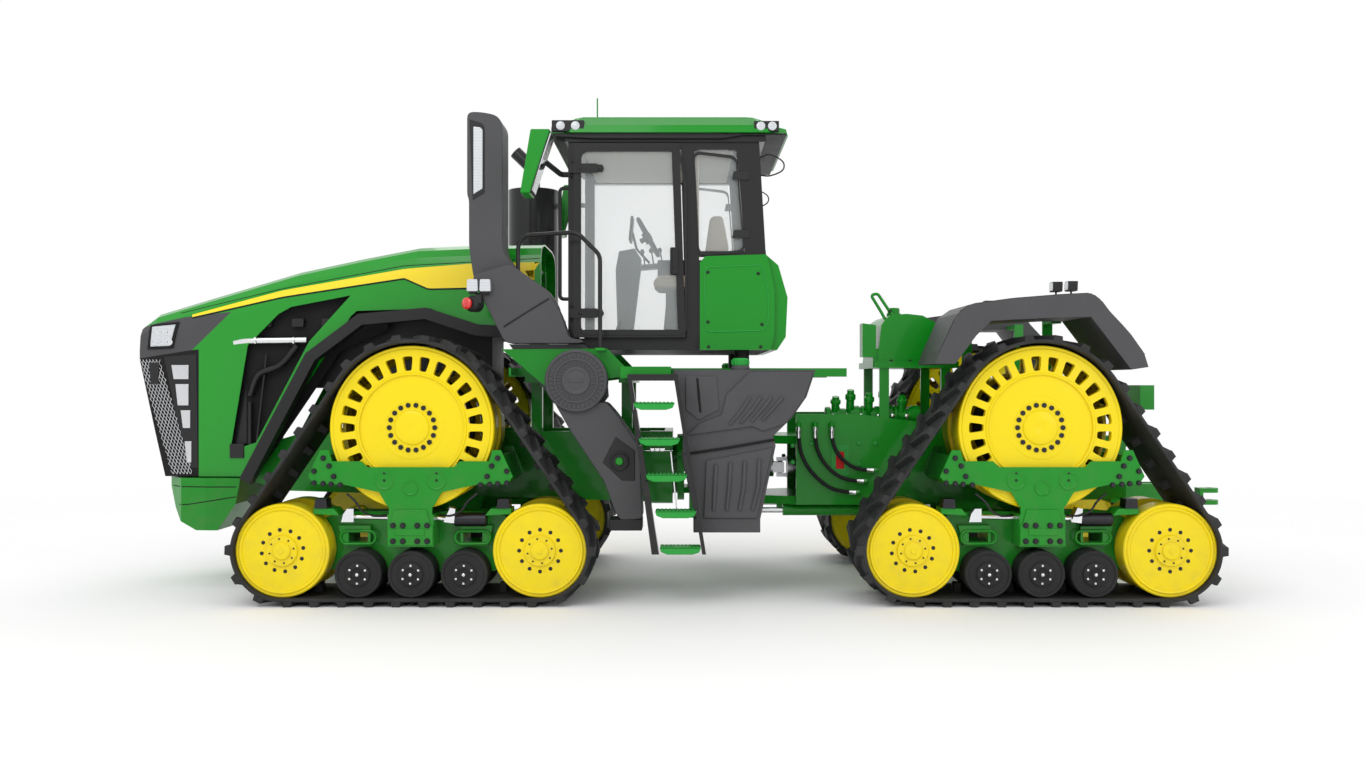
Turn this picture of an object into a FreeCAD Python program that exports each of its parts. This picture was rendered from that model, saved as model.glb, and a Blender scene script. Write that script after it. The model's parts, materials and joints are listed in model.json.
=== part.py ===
import FreeCAD, Part
import math
import os

# Four-track articulated farm tractor. Millimetres, +Z up, nose towards -X, operator's left side is -Y.
# The origin is at ground level, midway along the length and on the centre plane.

# ---- overall sizes
nose_overhang = 2505.0      # nose to front axle
wheelbase = 4820.0
tail_overhang = 1975.0      # rear axle to the end of the drawbar
axle_height = 1365.0
gauge = 2240.0              # between the middles of the left and right belts
belt_width = 760.0

# ---- track units
drive_wheel_radius = 632.0
drive_wheel_halfwidth = 300.0
drive_slot_count = 25
belt_thickness = 65.0
belt_gap = 17.0             # between drive wheel rim and belt
idler_reach = 985.0         # axle to idler centre, along X
idler_radius = 359.0
roller_radius = 179.0
roller_pitch = 406.0
wheel_slack = 1.0           # idlers and rollers to the belt's inner face
twin_wheel_inner = 130.0    # half the gap between the two discs of an idler or roller
twin_wheel_outer = 330.0
beam_halfwidth = 110.0
idler_pin_radius = 60.0
roller_pin_radius = 32.0
bridge_plate = 25.0
bridge_halfwidth = 350.0
pin_clearance = 0.05

# ---- axles and frames
axle_housing_radius = 230.0
saddle_clearance = 0.1
rail_offset = 440.0         # outer face of the front frame rails
rail_thickness = 40.0
rail_bottom = 800.0
rail_top = 1300.0
driveline_height = 970.0
trunnion_radius = 230.0
trunnion_bore = 165.0
pivot_pin_radius = 60.0
arm_gap = 6.0               # between the yoke's arms and the rear frame's arms
yoke_arm_height = 215.0     # top face of the yoke's upper arm above the driveline
yoke_arm_thickness = 50.0
rear_arm_thickness = 70.0
side_plate_offset = 460.0   # outer face of the rear frame's side plates
side_plate_thickness = 30.0

# ---- steering cylinders
cylinder_offset = 340.0
cylinder_height = 625.0
eye_reach = 150.0           # rod eyes ahead of the pivot
pin_reach = 1350.0          # barrel pins behind the pivot
barrel_radius = 46.0
barrel_bore = 38.0
barrel_length = 830.0       # pin to gland
rod_radius = 24.0
rod_length = 1010.0         # eye to piston
eye_radius = 48.0
eye_height = 50.0
eye_gap = 6.0
cylinder_pin_radius = 20.0
joint_reach = 525.0         # universal joints ahead of and behind the pivot

# ---- cab
cab_front = 1150.0          # behind the front axle
cab_length = 1665.0
cab_halfwidth = 900.0
cab_floor_z = 1975.0
floor_thickness = 95.0
cab_top_z = 3660.0
waist_z = 2735.0
pillar = 90.0
glass = 8.0
door_thickness = 40.0
door_gap = 6.0
hinge_heights = (2270.0, 3435.0)
hinge_radius = 14.0
hinge_pin_radius = 7.0
hinge_place = 30.0          # door hinge axis behind the cab's front face
roof_top_z = 3885.0
fan_place = 1250.0          # intake fan, behind the front axle

# ---- hood
hood_halfwidth = 590.0
hood_wall = 12.0
hood_bottom = 925.0
bumper_top = 915.0
hood_hinge_place = 800.0    # hood hinge behind the front axle
hood_hinge_z = 2700.0
hood_tube_radius = 22.0

# ---- derived places
front_end = -(nose_overhang + wheelbase + tail_overhang) / 2
front_axle = front_end + nose_overhang
rear_axle = front_axle + wheelbase
pivot = (front_axle + rear_axle) / 2
belt_middle = gauge / 2
belt_inner_edge = belt_middle - belt_width / 2
cab_x = front_axle + cab_front
cab_back = cab_x + cab_length
door_middle_y = -cab_halfwidth - door_gap - door_thickness / 2
rear_face_of_yoke = pivot - 320.0


# ---- small tools
def vec(x, y, z):
    return FreeCAD.Vector(x, y, z)


def box(x0, x1, y0, y1, z0, z1):
    return Part.makeBox(x1 - x0, y1 - y0, z1 - z0, vec(x0, y0, z0))


def face_of(points):
    return Part.Face(Part.makePolygon(points + [points[0]]))


def side_prism(outline, y0, y1):
    """A closed (x, z) outline pushed from y0 to y1."""
    return face_of([vec(x, y0, z) for x, z in outline]).extrude(vec(0, y1 - y0, 0))


def plan_prism(outline, z0, z1):
    return face_of([vec(x, y, z0) for x, y in outline]).extrude(vec(0, 0, z1 - z0))


def rod_x(x0, x1, y, z, radius):
    return Part.makeCylinder(radius, x1 - x0, vec(x0, y, z), vec(1, 0, 0))


def rod_y(x, y0, y1, z, radius):
    return Part.makeCylinder(radius, y1 - y0, vec(x, y0, z), vec(0, 1, 0))


def rod_z(x, y, z0, z1, radius):
    return Part.makeCylinder(radius, z1 - z0, vec(x, y, z0), vec(0, 0, 1))


def fuse(shapes):
    joined = shapes[0].fuse(shapes[1:])
    return joined.removeSplitter()


def apart(shapes):
    """The shapes as separate solids that meet face to face: each gives way to those before it."""
    solids = []
    for shape in shapes:
        solids += shape.cut(solids).Solids if solids else shape.Solids
    return solids


def mirrored(shape):
    return shape.mirror(vec(0, 0, 0), vec(0, 1, 0))


def both_sides(shape):
    return [shape, mirrored(shape)]


def save(name, shapes):
    solids = []
    for shape in shapes:
        solids += shape.Solids
    whole = solids[0] if len(solids) == 1 else Part.makeCompound(solids)
    whole.exportStep("parts/" + name + ".step")
    print(name, len(solids), round(whole.Volume / 1e6, 2))


def turned(profile, x, y, z):
    """A closed (radius, offset) profile turned about the Y axis through (x, y, z)."""
    points = [vec(x + r, y + offset, z) for r, offset in profile]
    return face_of(points).revolve(vec(x, y, z), vec(0, 1, 0), 360)


def tube_path(points, bend):
    """Straight runs through the points, joined by tangent arcs."""
    edges = []
    start = points[0]
    for before, corner, after in zip(points, points[1:], points[2:]):
        come = (corner - before).normalize()
        leave = (after - corner).normalize()
        turn = come.getAngle(leave)
        reach = min((corner - before).Length, (after - corner).Length) * 0.45
        radius = min(bend, reach / math.tan(turn / 2))
        setback = radius * math.tan(turn / 2)
        enter = corner - come * setback
        exit_point = corner + leave * setback
        inward = (leave - come).normalize()
        middle = corner + inward * (radius / math.cos(turn / 2) - radius)
        edges.append(Part.LineSegment(start, enter).toShape())
        edges.append(Part.Arc(enter, middle, exit_point).toShape())
        start = exit_point
    edges.append(Part.LineSegment(start, points[-1]).toShape())
    return Part.Wire(edges)


def tube(points, radius, bend=120.0):
    path = tube_path(points, bend)
    direction = (points[1] - points[0]).normalize()
    ring = Part.Wire(Part.makeCircle(radius, points[0], direction))
    return path.makePipeShell([ring], True, False)


def band(points, width):
    """The closed outline of a strip of the given width along a line of (x, z) points."""
    upper, lower = [], []
    for i, (x, z) in enumerate(points):
        x0, z0 = points[max(i - 1, 0)]
        x1, z1 = points[min(i + 1, len(points) - 1)]
        length = math.hypot(x1 - x0, z1 - z0)
        nx, nz = -(z1 - z0) / length, (x1 - x0) / length
        upper.append((x + nx * width / 2, z + nz * width / 2))
        lower.append((x - nx * width / 2, z - nz * width / 2))
    return upper + lower[::-1]


# ---- track units, drawn about an axle at x = 0 with the outside towards -Y, belt middle at y = 0
def loop_around(circles, y0, y1):
    """The solid inside a belt stretched round (x, z, radius) circles that are given clockwise."""
    edges = []
    count = len(circles)
    tangents = []
    for i in range(count):
        xa, za, ra = circles[i]
        xb, zb, rb = circles[(i + 1) % count]
        span = math.hypot(xb - xa, zb - za)
        dx, dz = (xb - xa) / span, (zb - za) / span
        lean = (ra - rb) / span
        side = math.sqrt(1 - lean * lean)
        nx, nz = -dz * side + dx * lean, dx * side + dz * lean
        tangents.append(((xa + nx * ra, za + nz * ra), (xb + nx * rb, zb + nz * rb)))
    for i in range(count):
        x, z, radius = circles[i]
        start = tangents[i - 1][1]
        end = tangents[i][0]
        mid_x = (start[0] + end[0]) / 2 - x
        mid_z = (start[1] + end[1]) / 2 - z
        reach = math.hypot(mid_x, mid_z)
        middle = (x + mid_x / reach * radius, z + mid_z / reach * radius)
        edges.append(Part.Arc(*[vec(px, y0, pz) for px, pz in (start, middle, end)]).toShape())
        far = tangents[i][1]
        edges.append(Part.LineSegment(vec(end[0], y0, end[1]), vec(far[0], y0, far[1])).toShape())
    return Part.Face(Part.Wire(edges)).extrude(vec(0, y1 - y0, 0))


idler_height = belt_thickness + wheel_slack + idler_radius
roller_height = belt_thickness + wheel_slack + roller_radius
belt_inside = [
    (-idler_reach, idler_height, idler_radius + wheel_slack),
    (0.0, axle_height, drive_wheel_radius + belt_gap),
    (idler_reach, idler_height, idler_radius + wheel_slack),
]


def belt():
    outside = [(x, z, radius + belt_thickness) for x, z, radius in belt_inside]
    whole = loop_around(outside, -belt_width / 2, belt_width / 2)
    hollow = loop_around(belt_inside, -belt_width / 2 - 1, belt_width / 2 + 1)
    return whole.cut(hollow)


def drive_wheel():
    rim = drive_wheel_radius
    edge = drive_wheel_halfwidth
    flange = 290.0
    web = 30.0
    lip = 420.0             # inner edge of the slotted ring
    outer = [
        (0, -edge + 20), (flange, -edge + 20), (flange + 20, -edge + 70), (lip - 30, -edge + 40),
        (lip, -edge), (rim - 20, -edge), (rim, -edge + 20), (rim, -70), (rim - 25, -70),
        (rim - 25, -edge + web), (lip, -edge + web), (lip - 30, -edge + 40 + web),
        (flange, -edge + 75 + web), (flange, -160), (0, -160),
    ]
    inner = [(r, -offset) for r, offset in outer]
    parts = [turned(outer, 0, 0, axle_height), turned(inner[::-1], 0, 0, axle_height)]
    parts.append(rod_y(0, -165, 165, axle_height, 250))
    for i in range(drive_slot_count):
        angle = 2 * math.pi * i / drive_slot_count
        x = (rim - 22) * math.cos(angle)
        z = axle_height + (rim - 22) * math.sin(angle)
        parts.append(rod_y(x, -edge + 25, edge - 25, z, 20))
    wheel = parts[0].fuse(parts[1:])
    slots = []
    slot = plan_prism([(-28, -edge - 5), (28, -edge - 5), (28, -edge + web + 5), (-28, -edge + web + 5)], 0, 110)
    slot = slot.makeFillet(22, [e for e in slot.Edges if abs(e.Length - web - 10) < 0.01])
    slot.translate(vec(0, 0, rim - 195))
    for i in range(drive_slot_count):
        cutter = slot.copy()
        cutter.rotate(vec(0, 0, 0), vec(0, 1, 0), 360.0 * (i + 0.5) / drive_slot_count)
        cutter.translate(vec(0, 0, axle_height))
        slots.append(cutter)
    slots += [mirrored(cutter) for cutter in slots]
    return wheel.cut(slots)


def twin_wheel(x, z, radius, pin, rubber):
    disc = radius - rubber
    hub = pin + 55.0
    outer = [
        (0, -twin_wheel_outer - 12), (hub, -twin_wheel_outer - 12), (hub + 15, -twin_wheel_outer + 30),
        (disc - 25, -twin_wheel_outer + 22), (disc, -twin_wheel_outer), (radius - 8, -twin_wheel_outer),
        (radius, -twin_wheel_outer + 8), (radius, -twin_wheel_inner), (pin, -twin_wheel_inner),
        (pin, 0), (0, 0),
    ]
    half = turned(outer, x, 0, z)
    return half.fuse(mirrored(half)).removeSplitter()


def idlers():
    return [twin_wheel(side * idler_reach, idler_height, idler_radius, idler_pin_radius, 20) for side in (-1, 1)]


def rollers():
    return [twin_wheel(i * roller_pitch, roller_height, roller_radius, roller_pin_radius, 26) for i in (-1, 0, 1)]


def bridge_outline():
    top = axle_height - 300.0
    shelf = axle_height - 255.0
    flange_top = axle_height - 170.0
    half = [
        (330, top), (375, shelf), (600, shelf), (625, flange_top), (690, flange_top), (780, axle_height - 370),
        (735, axle_height - 430), (520, axle_height - 430), (240, axle_height - 490), (175, axle_height - 600),
    ]
    return [(-x, z) for x, z in half][::-1] + half


def track_frame():
    plate = side_prism(bridge_outline(), -bridge_halfwidth, -bridge_halfwidth + bridge_plate)
    parts = [plate, mirrored(plate)]
    member = [(605, -380), (660, -215), (700, -215), (760, -400), (735, -430), (600, -430)]
    for side in (-1, 1):
        outline = [(side * x, axle_height + z) for x, z in member]
        parts.append(side_prism(outline, -bridge_halfwidth + 1, bridge_halfwidth - 1))
    block_top = axle_height - drive_wheel_radius - 30.0
    block_low = roller_height + roller_radius + 35.0
    parts.append(box(-175, 175, -bridge_halfwidth, -beam_halfwidth + 5, block_low, block_top))
    parts.append(box(-175, 175, beam_halfwidth - 5, bridge_halfwidth, block_low, block_top))
    bridge_low = axle_height - 600.0
    tie_low, tie_top = min(block_top, bridge_low) - 5, bridge_low + 10
    parts.append(box(-165, 165, -bridge_halfwidth, -bridge_halfwidth + bridge_plate, tie_low, tie_top))
    parts.append(box(-165, 165, bridge_halfwidth - bridge_plate, bridge_halfwidth, tie_low, tie_top))
    beam = [
        (-idler_reach, idler_height - 95), (-560, 230), (560, 230), (idler_reach, idler_height - 95),
        (idler_reach, idler_height + 95), (640, 690), (480, block_top), (-480, block_top), (-640, 690),
        (-idler_reach, idler_height + 95),
    ]
    parts.append(side_prism(beam, -beam_halfwidth, beam_halfwidth))
    for side in (-1, 1):
        parts.append(rod_y(side * idler_reach, -beam_halfwidth, beam_halfwidth, idler_height, 130))
        parts.append(side_prism([(side * 350, 600), (side * 600, 600), (side * 560, 440), (side * 350, 440)],
                                -beam_halfwidth - 60, beam_halfwidth + 60))
    frame = fuse(parts)
    holes = []
    for side in (-1, 1):
        holes.append(rod_y(side * idler_reach, -400, 400, idler_height, idler_pin_radius + pin_clearance))
        slot = side_prism([(side * 370, 470), (side * 520, 470), (side * 520, 545), (side * 370, 545)], -400, 400)
        holes.append(slot)
    for i in (-1, 0, 1):
        holes.append(rod_y(i * roller_pitch, -400, 400, roller_height, roller_pin_radius + pin_clearance))
    return frame.cut(holes)


def placed(shapes, axle_x):
    """Both units of an axle: the drawn one on the left, its mirror image on the right."""
    result = []
    for shape in shapes:
        left = shape.copy()
        left.translate(vec(axle_x, -belt_middle, 0))
        result += [left, mirrored(left)]
    return result


def track_units(prefix, axle_x):
    left, right = placed([belt()], axle_x)
    save(prefix + "_left_track_belt", [left])
    save(prefix + "_right_track_belt", [right])
    save(prefix + "_drive_wheels", placed([drive_wheel()], axle_x))
    save(prefix + "_idlers", placed(idlers(), axle_x))
    save(prefix + "_rollers", placed(rollers(), axle_x))
    save(prefix + "_track_frames", placed([track_frame()], axle_x))


def axle(axle_x):
    """Housing across the machine with its differential, out to the drive wheels' hubs."""
    reach = belt_middle - drive_wheel_halfwidth + 20.0
    parts = [
        rod_y(axle_x, -reach + 60, reach - 60, axle_height, axle_housing_radius),
        rod_y(axle_x, -reach, -reach + 60, axle_height, axle_housing_radius - 20),
        rod_y(axle_x, reach - 60, reach, axle_height, axle_housing_radius - 20),
        rod_y(axle_x, -rail_offset + rail_thickness + 60, rail_offset - rail_thickness - 60, axle_height, 285),
    ]
    return fuse(parts)


# ---- front frame and what stands on it
def front_frame():
    back = pivot - 420.0
    low_back = rail_bottom - 100
    start = front_axle - 1600.0
    rail = [
        (start, rail_bottom + 100), (start + 250, rail_bottom), (back, low_back), (back, rail_top),
        (start + 500, rail_top), (start, rail_top - 150),
    ]
    parts = []
    for side in (-1, 1):
        outer = side * rail_offset
        inner = side * (rail_offset - rail_thickness)
        parts.append(side_prism(rail, min(outer, inner), max(outer, inner)))
    inside = rail_offset - rail_thickness + 2
    for x0, z1 in ((start + 10, rail_top - 170), (front_axle - 900, rail_top - 250), (front_axle + 900, rail_top - 250)):
        parts.append(box(x0, x0 + 60, -inside, inside, rail_bottom + 60, z1))
    parts.append(box(back - 70, back, -rail_offset, rail_offset, low_back, rail_top))
    parts.append(rod_x(back - 200, back, 0, driveline_height, trunnion_radius + 90))
    frame = fuse(parts)
    saddle = rod_y(front_axle, -rail_offset - 5, rail_offset + 5, axle_height, axle_housing_radius + saddle_clearance)
    bearing = rod_x(back - 260, back + 10, 0, driveline_height, trunnion_radius + pin_clearance)
    return frame.cut([saddle, bearing])


def front_bumper():
    x = front_axle
    outline = [
        (x - 2270, bumper_top), (x - 2270, 840), (x - 2205, 665), (x - 2130, 555), (x - 1985, 480),
        (x - 1800, 480), (x - 1650, 700), (x - 1610, bumper_top),
    ]
    block = side_prism(outline, -600, 600)
    plan = [
        (x - 2280, -380), (x - 2120, -560), (x - 1900, -600), (x - 1600, -600),
        (x - 1600, 600), (x - 1900, 600), (x - 2120, 560), (x - 2280, 380),
    ]
    shape = block.common(plan_prism(plan, 400, 1000))
    tow_slot = box(x - 2300, x - 2080, -60, 60, 660, 740)
    tow_pin = rod_z(x - 2140, 0, 640, 760, 20)
    return shape.cut([tow_slot, tow_pin])


def front_fenders():
    x = front_axle
    line = [
        (x - 1530, 900), (x - 990, 1925), (x - 580, 2232), (x - 40, 2282), (x + 380, 2145), (x + 620, 2130),
    ]
    strip = side_prism(band(line, 95), -belt_inner_edge + 8, -hood_halfwidth - 15)
    return both_sides(strip)


def engine_block():
    x = front_axle
    return fuse([
        box(x - 1150, x + 450, -330, 330, axle_height + 300, 2250),
        box(x - 900, x + 150, -230, 230, 2240, 2330),
        rod_x(x - 1598, x - 1050, -430, 2065, 45),
        box(x - 1150, x - 1050, -470, -320, 2020, 2110),
    ])


def radiator():
    x = front_axle
    return box(x - 1830, x - 1600, -480, 480, 1180, 2180)


def subframe():
    """Green frame under the cab with the walkway, its outrigger brackets and the tank rails."""
    x0 = front_axle + 645.0
    x1 = pivot + 1015.0
    low, top = 1760.0, 1830.0
    parts = []
    for side in (-1, 1):
        parts.append(box(x0, x1, min(side * 660, side * 740), max(side * 660, side * 740), low, top))
        for post in (front_axle + 800.0, front_axle + 1560.0):
            y0, y1 = sorted((side * (rail_offset - 50), side * (rail_offset + 20)))
            parts.append(box(post, post + 90, y0, y1, rail_top, low + 10))
    for cross in (front_axle + 780.0, front_axle + 1550.0, front_axle + 2290.0):
        parts.append(box(cross, cross + 120, -740, 740, low - 50, top))
    walk = box(front_axle + 1595, front_axle + 1985, -1345, -700, 1745, 1835)
    parts.append(walk)
    plate = [
        (front_axle + 645, 1975), (front_axle + 1480, 1980), (front_axle + 1620, 1835),
        (front_axle + 1595, 1760), (front_axle + 985, 1685),
    ]
    for side in (-1, 1):
        y0, y1 = sorted((side * 1105, side * 1125))
        parts.append(side_prism(plate, y0, y1))
        for arm in (front_axle + 700.0, front_axle + 1600.0):
            ya, yb = sorted((side * 730, side * 1110))
            parts.append(box(arm, arm + 16, ya, yb, 1770, 1830))
    parts.append(box(front_axle + 1400, front_axle + 1470, -1330, -1115, 1960, 1980))
    hinge = front_axle + hood_hinge_place
    parts.append(rod_y(hinge, -345, 345, hood_hinge_z, hood_tube_radius))
    for side in (-1, 1):
        y0, y1 = sorted((side * 300, side * 345))
        parts.append(box(hinge - 35, hinge + 35, y0, y1, top - 20, hood_hinge_z))
        parts.append(rod_y(hinge, y0, y1, hood_hinge_z, 35))
    fan_hole = rod_y(front_axle + fan_place, -1200, -1080, 1725, 200 + 2)
    return apart([part.cut(fan_hole) for part in parts])


def intake_stack():
    x = front_axle
    column = [
        (x + 365, 3860), (x + 475, 3860), (x + 600, 3835), (x + 645, 3770), (x + 645, 2790), (x + 665, 2725),
        (x + 720, 2645), (x + 1000, 2445), (x + 1080, 2310), (x + 1080, 2150), (x + 610, 2150), (x + 415, 2550),
        (x + 380, 2790), (x + 380, 3165), (x + 365, 3200),
    ]
    flare = [
        (x + 720, 2645), (x + 1000, 2445), (x + 1110, 2265), (x + 1165, 2110), (x + 1185, 2060), (x + 1290, 2048),
        (x + 1290, 2020), (x + 680, 2020), (x + 415, 2550),
    ]
    return fuse([side_prism(column, -1090, -745), side_prism(flare, -1180, -965)])


def intake_housing():
    x = front_axle
    body = [
        (x + 700, 2015), (x + 1285, 2015), (x + 1460, 1870), (x + 1480, 1600), (x + 1390, 1480), (x + 1130, 1480),
        (x + 860, 1800),
    ]
    duct = side_prism(body, -1100, -910)
    fan = rod_y(x + fan_place, -1320, -1130, 1725, 240)
    hub = rod_y(x + fan_place, -1132, -1098, 1725, 200)
    arm_way = box(x + 690, x + 730, -1111, -700, 1765, 1835)
    return fuse([duct, hub, fan]).cut(arm_way)


def leg_duct():
    x = front_axle
    outline = [
        (x + 1200, 1340), (x + 1545, 1475), (x + 1740, 1215), (x + 1765, 650), (x + 1595, 640), (x + 1555, 695),
        (x + 1465, 940),
    ]
    return side_prism(outline, -1290, -950)


def duct_mounts():
    x = front_axle
    return box(x + 1230, x + 1400, -1200, -960, 1395, 1480)


def exhaust():
    x = front_axle + 657.0
    body = [
        rod_z(x, 850, 2305, 3535, 235),
        box(x - 170, x + 290, 640, 1060, 2200, 2310),
        box(x + 100, x + 160, 665, 735, 1830, 2205),
        box(x + 100, x + 160, 730, 1000, 2150, 2205),
    ]
    pipe = tube([vec(x, 850, 3520), vec(x, 850, 3740), vec(x - 170, 850, 3905)], 62, 150)
    return fuse(body + [pipe])


def step_treads():
    x = front_axle
    places = [(1700, 1530), (1740, 1257), (1795, 982), (1865, 705), (1900, 428)]
    return [box(x + start, x + start + 318, -1495, -1310, z - 27, z + 27) for start, z in places]


def step_rails():
    x = front_axle
    front = side_prism([(x + 1660, 1725), (x + 1690, 1725), (x + 1895, 400), (x + 1840, 400)], -1480, -1345)
    back = side_prism([(x + 2010, 1740), (x + 2040, 1740), (x + 2255, 400), (x + 2225, 400)], -1480, -1345)
    head = box(x + 1655, x + 2040, -1480, -1346, 1725, 1775)
    rails = fuse([front, back, head])
    return rails.cut(step_treads())


def fuel_tanks():
    x = front_axle
    outline = [
        (x + 2000, 1810), (x + 3110, 1810), (x + 3040, 1600), (x + 2925, 1435), (x + 2780, 1295), (x + 2800, 1220),
        (x + 2670, 600), (x + 2180, 640), (x + 2070, 1120), (x + 2080, 1320),
    ]
    main = side_prism(outline, -1300, -1060)
    saddle = box(x + 2100, x + 2400, -1070, -755, 1150, 1750)
    cap = rod_z(x + 2530, -1170, 1800, 1905, 65)
    tank = fuse([main, saddle, cap])
    return both_sides(tank)


# ---- cab
def cab_floor():
    parts = [box(cab_x, cab_back - 30, -cab_halfwidth, cab_halfwidth, cab_floor_z, cab_floor_z + floor_thickness)]
    for place in (cab_x + 150, cab_back - 250):
        for y in (-700, 700):
            parts.append(rod_z(place, y, 1830, cab_floor_z + 5, 60))
    return fuse(parts)


def cab_frame():
    floor = cab_floor_z + floor_thickness
    wall = 80.0
    parts = []
    outlines = [
        [(0, floor), (pillar, floor), (pillar, cab_top_z), (0, cab_top_z)],
        [(960, floor), (1090, floor), (1015, cab_top_z), (915, cab_top_z)],
        [(1455, floor), (1620, floor), (1600, waist_z), (1545, cab_top_z), (1365, cab_top_z), (1430, waist_z)],
    ]
    for outline in outlines:
        points = [(cab_x + x, z) for x, z in outline]
        post = side_prism(points, -cab_halfwidth, -cab_halfwidth + wall)
        parts += both_sides(post)
    beam = box(cab_x, cab_x + 1545, -cab_halfwidth, -cab_halfwidth + wall, cab_top_z - 65, cab_top_z)
    parts += both_sides(beam)
    waist = box(cab_x + 1050, cab_x + 1600, -cab_halfwidth, -cab_halfwidth + wall, waist_z, waist_z + 40)
    parts += both_sides(waist)
    parts.append(box(cab_x + 1500, cab_x + 1600, -cab_halfwidth, cab_halfwidth, waist_z, waist_z + 40))
    parts.append(box(cab_x - 25, cab_x + 1590, -cab_halfwidth - 20, cab_halfwidth + 20, cab_top_z - 5, cab_top_z + 60))
    x = cab_x + hinge_place
    for z in hinge_heights:
        for low in (z - 62, z + 42):
            parts.append(rod_z(x, door_middle_y, low, low + 20, hinge_radius))
            parts.append(box(x - 10, x + 10, door_middle_y, -cab_halfwidth + 5, low, low + 20))
        parts.append(rod_z(x, door_middle_y, z - 62, z + 62, hinge_pin_radius))
    return fuse(parts)


def cab_roof():
    low = cab_top_z + 60.0
    def ring(front, back, half, corner, z):
        outline = [
            (front + corner, -half), (back - corner, -half), (back, -half + corner), (back, half - corner),
            (back - corner, half), (front + corner, half), (front, half - corner), (front, -half + corner),
        ]
        points = [vec(cab_x + x, y, z) for x, y in outline]
        return Part.makePolygon(points + [points[0]])
    wires = [
        ring(-150, 1785, 985, 170, low), ring(-135, 1770, 975, 170, low + 60),
        ring(-60, 1640, 860, 150, roof_top_z - 25), ring(40, 1500, 780, 150, roof_top_z),
    ]
    cap = Part.makeLoft(wires, True, True)
    dome = rod_z(cab_x + 110, -300, roof_top_z - 20, roof_top_z + 45, 55)
    mast = rod_z(cab_x + 195, -300, roof_top_z - 20, roof_top_z + 265, 6)
    return fuse([cap, dome, mast])


def cab_glass():
    floor = cab_floor_z + floor_thickness
    inner = cab_halfwidth - 80.0
    sheets = [box(cab_x + 20, cab_x + 20 + glass, -inner, inner, floor + 5, cab_top_z - 10)]
    back = [(1505, waist_z + 45), (1505 + glass, waist_z + 45), (1450 + glass, cab_top_z - 10), (1450, cab_top_z - 10)]
    sheets.append(side_prism([(cab_x + x, z) for x, z in back], -inner, inner))
    quarter = [(1070, waist_z + 42), (1418, waist_z + 42), (1362, cab_top_z - 68), (1020, cab_top_z - 68)]
    pane = side_prism([(cab_x + x, z) for x, z in quarter], -cab_halfwidth + 20, -cab_halfwidth + 20 + glass)
    sheets += both_sides(pane)
    right = [(pillar + 2, floor + 5), (955, floor + 5), (913, cab_top_z - 68), (pillar + 2, cab_top_z - 68)]
    sheets.append(side_prism([(cab_x + x, z) for x, z in right], cab_halfwidth - 28, cab_halfwidth - 28 + glass))
    return sheets


def cab_rear_panels():
    side = [
        (1065, cab_floor_z), (1640, cab_floor_z), (1665, 2100), (1668, 2450), (1625, 2660), (1600, waist_z + 10),
        (1110, waist_z - 5), (1065, waist_z - 55),
    ]
    panel = side_prism([(cab_x + x, z) for x, z in side], -cab_halfwidth - 42, -cab_halfwidth - 2)
    back = [
        (1637, cab_floor_z), (1690, cab_floor_z), (1760, 2080), (1775, 2400), (1700, 2660), (1602, waist_z + 10),
        (1602, waist_z - 60), (1637, 2300),
    ]
    rear = side_prism([(cab_x + x, z) for x, z in back], -cab_halfwidth - 3, cab_halfwidth + 3)
    return fuse(both_sides(panel) + [rear])


def seat_cushions():
    cushion = box(cab_x + 640, cab_x + 1130, -260, 260, 2520, 2640)
    back = [(1085, 2665), (1145, 3165), (1290, 3165), (1345, 2880), (1290, 2660)]
    return [cushion, side_prism([(cab_x + x, z) for x, z in back], -250, 250)]


def seat_base():
    floor = cab_floor_z + floor_thickness
    return fuse([
        box(cab_x + 780, cab_x + 1120, -210, 210, floor, 2515),
        box(cab_x + 1100, cab_x + 1350, -80, 80, 2440, 2515),
        box(cab_x + 1300, cab_x + 1350, -80, 80, 2500, 2655),
        box(cab_x + 700, cab_x + 1180, 275, 375, 2560, 2820),
        box(cab_x + 780, cab_x + 900, 200, 300, 2450, 2515),
        box(cab_x + 780, cab_x + 900, 280, 370, 2450, 2565),
    ])


def steering_console():
    floor = cab_floor_z + floor_thickness
    outline = [(360, floor), (480, floor), (560, 2740), (560, 2800), (505, 2885), (370, 2860), (340, 2700)]
    return side_prism([(cab_x + x, z) for x, z in outline], -95, 95)


wheel_hub = vec(cab_x + 622.0, 0, 2993.0)
wheel_axis = vec(0.875, 0, 0.485).normalize()


def steering_wheel():
    ring = Part.makeTorus(180, 17, wheel_hub, wheel_axis)
    hub = Part.makeCylinder(52, 60, wheel_hub - wheel_axis * 40, wheel_axis)
    shaft = Part.makeCylinder(22, 40, wheel_hub - wheel_axis * 78, wheel_axis)
    parts = [ring, hub, shaft]
    across = vec(0, 1, 0)
    along = wheel_axis.cross(across).normalize()
    for angle in (90, 210, 330):
        a = math.radians(angle)
        direction = across * math.cos(a) + along * math.sin(a)
        parts.append(Part.makeCylinder(12, 180, wheel_hub, direction))
    return fuse(parts)


def door_outline(inset):
    floor = cab_floor_z + floor_thickness + 5
    return [
        (cab_x + 45 + inset, floor + inset), (cab_x + 950 - inset, floor + inset),
        (cab_x + 900 - inset, cab_top_z - 20 - inset), (cab_x + 45 + inset, cab_top_z - 20 - inset),
    ]


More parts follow.
